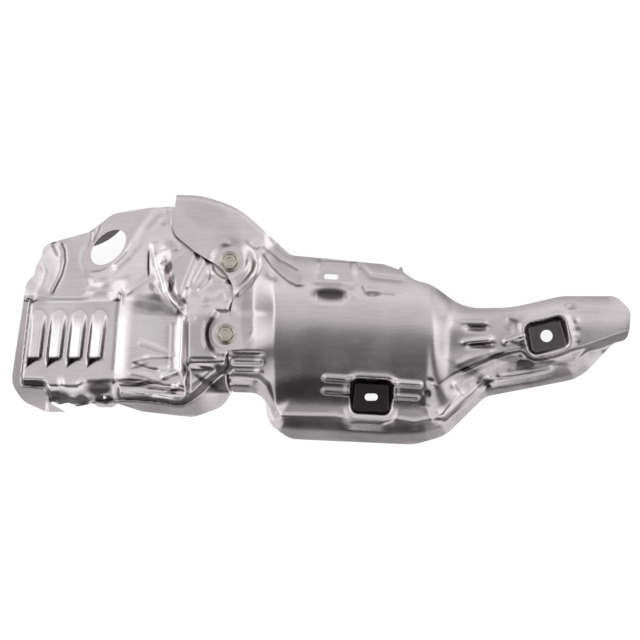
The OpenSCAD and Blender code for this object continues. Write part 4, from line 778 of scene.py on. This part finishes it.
def aluminisedSteel(name, dark, mid, light, rough):
    # hot-dip aluminised sheet: glossy rolled grey metal with a fine grain along the rolling direction (X)
    material, tree = newMaterial(name)
    place = addNode(tree, "ShaderNodeTexCoord").outputs["Object"]
    # 1 mm streaks, 15 mm long
    streak = addNode(tree, "ShaderNodeMapping", {}, {"Vector": place, "Scale": (60, 900, 300)})
    streaks = addNode(tree, "ShaderNodeTexNoise", {},
        {"Vector": streak.outputs[0], "Scale": 1.0, "Detail": 5.0, "Roughness": 0.6}).outputs["Fac"]
    # 0.7 mm grain
    grain = addNode(tree, "ShaderNodeTexNoise", {},
        {"Vector": place, "Scale": 1400.0, "Detail": 3.0}).outputs["Fac"]
    # 25 mm patches
    cloud = addNode(tree, "ShaderNodeTexNoise", {},
        {"Vector": place, "Scale": 38.0, "Detail": 4.0}).outputs["Fac"]
    blendA = addNode(tree, "ShaderNodeMix", {"data_type": "FLOAT"},
        {"Factor": 0.5, 2: streaks, 3: cloud}).outputs[0]
    colour = ramp(tree, blendA, [(0.30, dark), (0.52, mid), (0.72, light)])
    roughness = addNode(tree, "ShaderNodeMapRange", {},
        {"Value": cloud, "From Min": 0.3, "From Max": 0.7, "To Min": rough - 0.05, "To Max": rough + 0.07})
    bumpA = addNode(tree, "ShaderNodeBump", {}, {"Height": grain, "Strength": 0.10, "Distance": 0.0004})
    bumpB = addNode(tree, "ShaderNodeBump", {}, {"Height": streaks, "Strength": 0.05, "Distance": 0.0004,
        "Normal": bumpA.outputs[0]})
    bumpC = addNode(tree, "ShaderNodeBump", {}, {"Height": cloud, "Strength": 0.20, "Distance": 0.0012,
        "Normal": bumpB.outputs[0]})
    paintedShadeAndHighlight = addNode(tree, "ShaderNodeAttribute", {"attribute_name": "paintedShadeAndHighlight"}).outputs["Fac"]
    # the attribute runs from -1, painted highlight, over 0, plain sheet, to 1, painted shade near black
    paintedHighlightAmount = addNode(tree, "ShaderNodeMath", {"operation": "MULTIPLY", "use_clamp": True},
        {0: paintedShadeAndHighlight, 1: -1.0}).outputs[0]
    paintedShadeAmount = addNode(tree, "ShaderNodeMath", {"operation": "MULTIPLY", "use_clamp": True},
        {0: paintedShadeAndHighlight, 1: 1.0}).outputs[0]
    # painted highlight towards near white below 0, then painted shade towards near black above 0
    colour = addNode(tree, "ShaderNodeMix", {"data_type": "RGBA"},
        {"Factor": paintedHighlightAmount, "A": colour, "B": fromHex("#FBF9F9")}).outputs["Result"]
    colour = addNode(tree, "ShaderNodeMix", {"data_type": "RGBA"},
        {"Factor": paintedShadeAmount, "A": colour, "B": fromHex("#262122")}).outputs["Result"]
    shader = addNode(tree, "ShaderNodeBsdfPrincipled", {},
        {"Base Color": colour, "Metallic": 1.0, "Roughness": roughness.outputs[0],
        "Normal": bumpC.outputs[0]})
    addNode(tree, "ShaderNodeOutputMaterial", {}, {"Surface": shader.outputs[0]})
    return material

def zincPlate(name):
    # zinc on a cold-headed screw, passivated: slightly dull, pale grey with a faint warm cast
    material, tree = newMaterial(name)
    place = addNode(tree, "ShaderNodeTexCoord").outputs["Object"]
    patch = addNode(tree, "ShaderNodeTexNoise", {},
        {"Vector": place, "Scale": 420.0, "Detail": 4.0}).outputs["Fac"]
    colour = ramp(tree, patch, [(0.3, "#B2ADA4"), (0.7, "#CCC8C0")])
    # painted shade: darker in the corner between the head and its flange, by ambient occlusion
    openness = addNode(tree, "ShaderNodeAmbientOcclusion", {"samples": 8},
        {"Distance": 0.003}).outputs["AO"]
    unshaded = addNode(tree, "ShaderNodeMapRange", {},
        {"Value": openness, "From Min": 0.5, "From Max": 0.95}).outputs[0]
    colour = addNode(tree, "ShaderNodeMix", {"data_type": "RGBA"},
        {"Factor": unshaded, "A": fromHex("#3E3A31"), "B": colour}).outputs["Result"]
    bump = addNode(tree, "ShaderNodeBump", {}, {"Height": patch, "Strength": 0.15, "Distance": 0.0003})
    shader = addNode(tree, "ShaderNodeBsdfPrincipled", {},
        {"Base Color": colour, "Metallic": 1.0, "Roughness": 0.36, "Normal": bump.outputs[0]})
    addNode(tree, "ShaderNodeOutputMaterial", {}, {"Surface": shader.outputs[0]})
    return material

coverSteel = aluminisedSteel("aluminisedSteel", "#D0C9CC", "#DAD3D6", "#E3DDE0", 0.25)
# the doubler's dark colours are painted shade for the sheet that lies under the covers
shadedInnerSteel = aluminisedSteel("dullShadedInnerSheet", "#5A5556", "#6E696A", "#817C7D", 0.45)
screwZinc = zincPlate("zincPlated")
converterPiece.data.materials.append(coverSteel)
turboPiece.data.materials.append(coverSteel)

def dress(node, material):  # a carried-over part keeps its shape and gets its finish
    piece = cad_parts[node]
    if not piece.material_slots:
        piece.data.materials.append(material)
    for slot in piece.material_slots:
        slot.material = material

for node in ("flange_bolt_upper", "flange_bolt_lower", "flange_nut_upper", "flange_nut_lower"):
    dress(node, screwZinc)
# the doubler gets the dark sheet whose colour is painted shade
dress("hole_doubler", shadedInnerSteel)
print("finishes done")

studio = {"floor": "#A0A0A0", "floorGlow": 0.80, "zenith": 0.72, "dimmest": 0.04, "cameraHeight": 2.4,
    "planeHeight": 0.03, "frameWidth": 0.48,
    "front": [(0.20, 0.62, -0.50), (0.60, 1.00, -0.18)], "back": [(0.08, 0.35, 0.20), (0.50, 0.95, -0.36)],
    "sides": [(0.20, 0.58, 0.66), (0.76, 1.00, -0.95)]}

def studioFloor():
    # pale floor: a diffuse colour that takes the shadow, with a little glow where camera or metal sees it
    mesh = bpy.data.meshes.new("studioFloor")
    mesh.from_pydata([(-4, -4, 0), (4, -4, 0), (4, 4, 0), (-4, 4, 0)], [], [(0, 1, 2, 3)])
    piece = bpy.data.objects.new("studioFloor", mesh)
    bpy.context.scene.collection.objects.link(piece)
    material, tree = newMaterial("paleFloor")
    path = addNode(tree, "ShaderNodeLightPath")
    seen = addNode(tree, "ShaderNodeMath", {"operation": "MAXIMUM"},
        {0: path.outputs["Is Camera Ray"], 1: path.outputs["Is Glossy Ray"]})
    seen = addNode(tree, "ShaderNodeMath", {"operation": "MAXIMUM"},
        {0: seen.outputs[0], 1: path.outputs["Is Transmission Ray"]})
    glow = addNode(tree, "ShaderNodeMath", {"operation": "MULTIPLY"},
        {0: seen.outputs[0], 1: studio["floorGlow"]})
    plain = addNode(tree, "ShaderNodeBsdfDiffuse", {}, {"Color": fromHex(studio["floor"])})
    light = addNode(tree, "ShaderNodeEmission", {}, {"Color": (1, 1, 1, 1), "Strength": glow.outputs[0]})
    both = addNode(tree, "ShaderNodeAddShader", {}, {0: plain.outputs[0], 1: light.outputs[0]})
    addNode(tree, "ShaderNodeOutputMaterial", {}, {"Surface": both.outputs[0]})
    mesh.materials.append(material)

def studioWorld():
    # soft studio: level overhead, brighter behind (+Y) and at both sides, dim in front (-Y) like black cloth
    world = bpy.data.worlds.new("studioWorld")
    bpy.context.scene.world = world
    world.use_nodes = True
    tree = world.node_tree
    tree.nodes.clear()
    way = addNode(tree, "ShaderNodeTexCoord").outputs["Generated"]
    parts = addNode(tree, "ShaderNodeSeparateXYZ", {}, {"Vector": way}).outputs
    away = addNode(tree, "ShaderNodeMath", {"operation": "MAXIMUM"}, {0: parts["Y"], 1: 0.0}).outputs[0]
    across = addNode(tree, "ShaderNodeMath", {"operation": "ABSOLUTE"}, {0: parts["X"]}).outputs[0]
    across = addNode(tree, "ShaderNodeMath", {"operation": "MULTIPLY_ADD"},
        {0: away, 1: -0.8, 2: across}).outputs[0]
    def band(value, low, high, amount):
        return addNode(tree, "ShaderNodeMapRange", {"interpolation_type": "SMOOTHSTEP"},
            {"Value": value, "From Min": low, "From Max": high, "To Min": 0.0, "To Max": amount}).outputs[0]
    def plus(a, b):
        return addNode(tree, "ShaderNodeMath", {"operation": "ADD"}, {0: a, 1: b}).outputs[0]
    front = addNode(tree, "ShaderNodeMath", {"operation": "MULTIPLY"}, {0: parts["Y"], 1: -1.0}).outputs[0]
    level = studio["zenith"]
    for value, bands in ((front, studio["front"]), (parts["Y"], studio["back"]), (across, studio["sides"])):
        for low, high, amount in bands:
            level = plus(level, band(value, low, high, amount))
    level = addNode(tree, "ShaderNodeMath", {"operation": "MAXIMUM"},
        {0: level, 1: studio["dimmest"]}).outputs[0]
    seen = addNode(tree, "ShaderNodeLightPath").outputs["Is Camera Ray"]
    strength = addNode(tree, "ShaderNodeMix", {"data_type": "FLOAT"},
        {"Factor": seen, 2: level, 3: 1.0}).outputs[0]
    sky = addNode(tree, "ShaderNodeBackground", {}, {"Color": (1, 1, 1, 1), "Strength": strength})
    addNode(tree, "ShaderNodeOutputWorld", {}, {"Surface": sky.outputs[0]})

studioFloor()
studioWorld()

camera = bpy.data.cameras.new("viewCamera")
cameraPiece = bpy.data.objects.new("viewCamera", camera)
cameraPiece.location = (0, 0, studio["cameraHeight"])
camera.sensor_fit = "HORIZONTAL"
camera.sensor_width = 36
# the plane that is planeHeight above the floor fills the frame's width
camera.lens = camera.sensor_width * (studio["cameraHeight"] - studio["planeHeight"]) / studio["frameWidth"]
camera.clip_end = 20
bpy.context.scene.collection.objects.link(cameraPiece)
bpy.context.scene.camera = cameraPiece
bpy.context.scene.view_settings.view_transform = "Standard"
print("studio done")
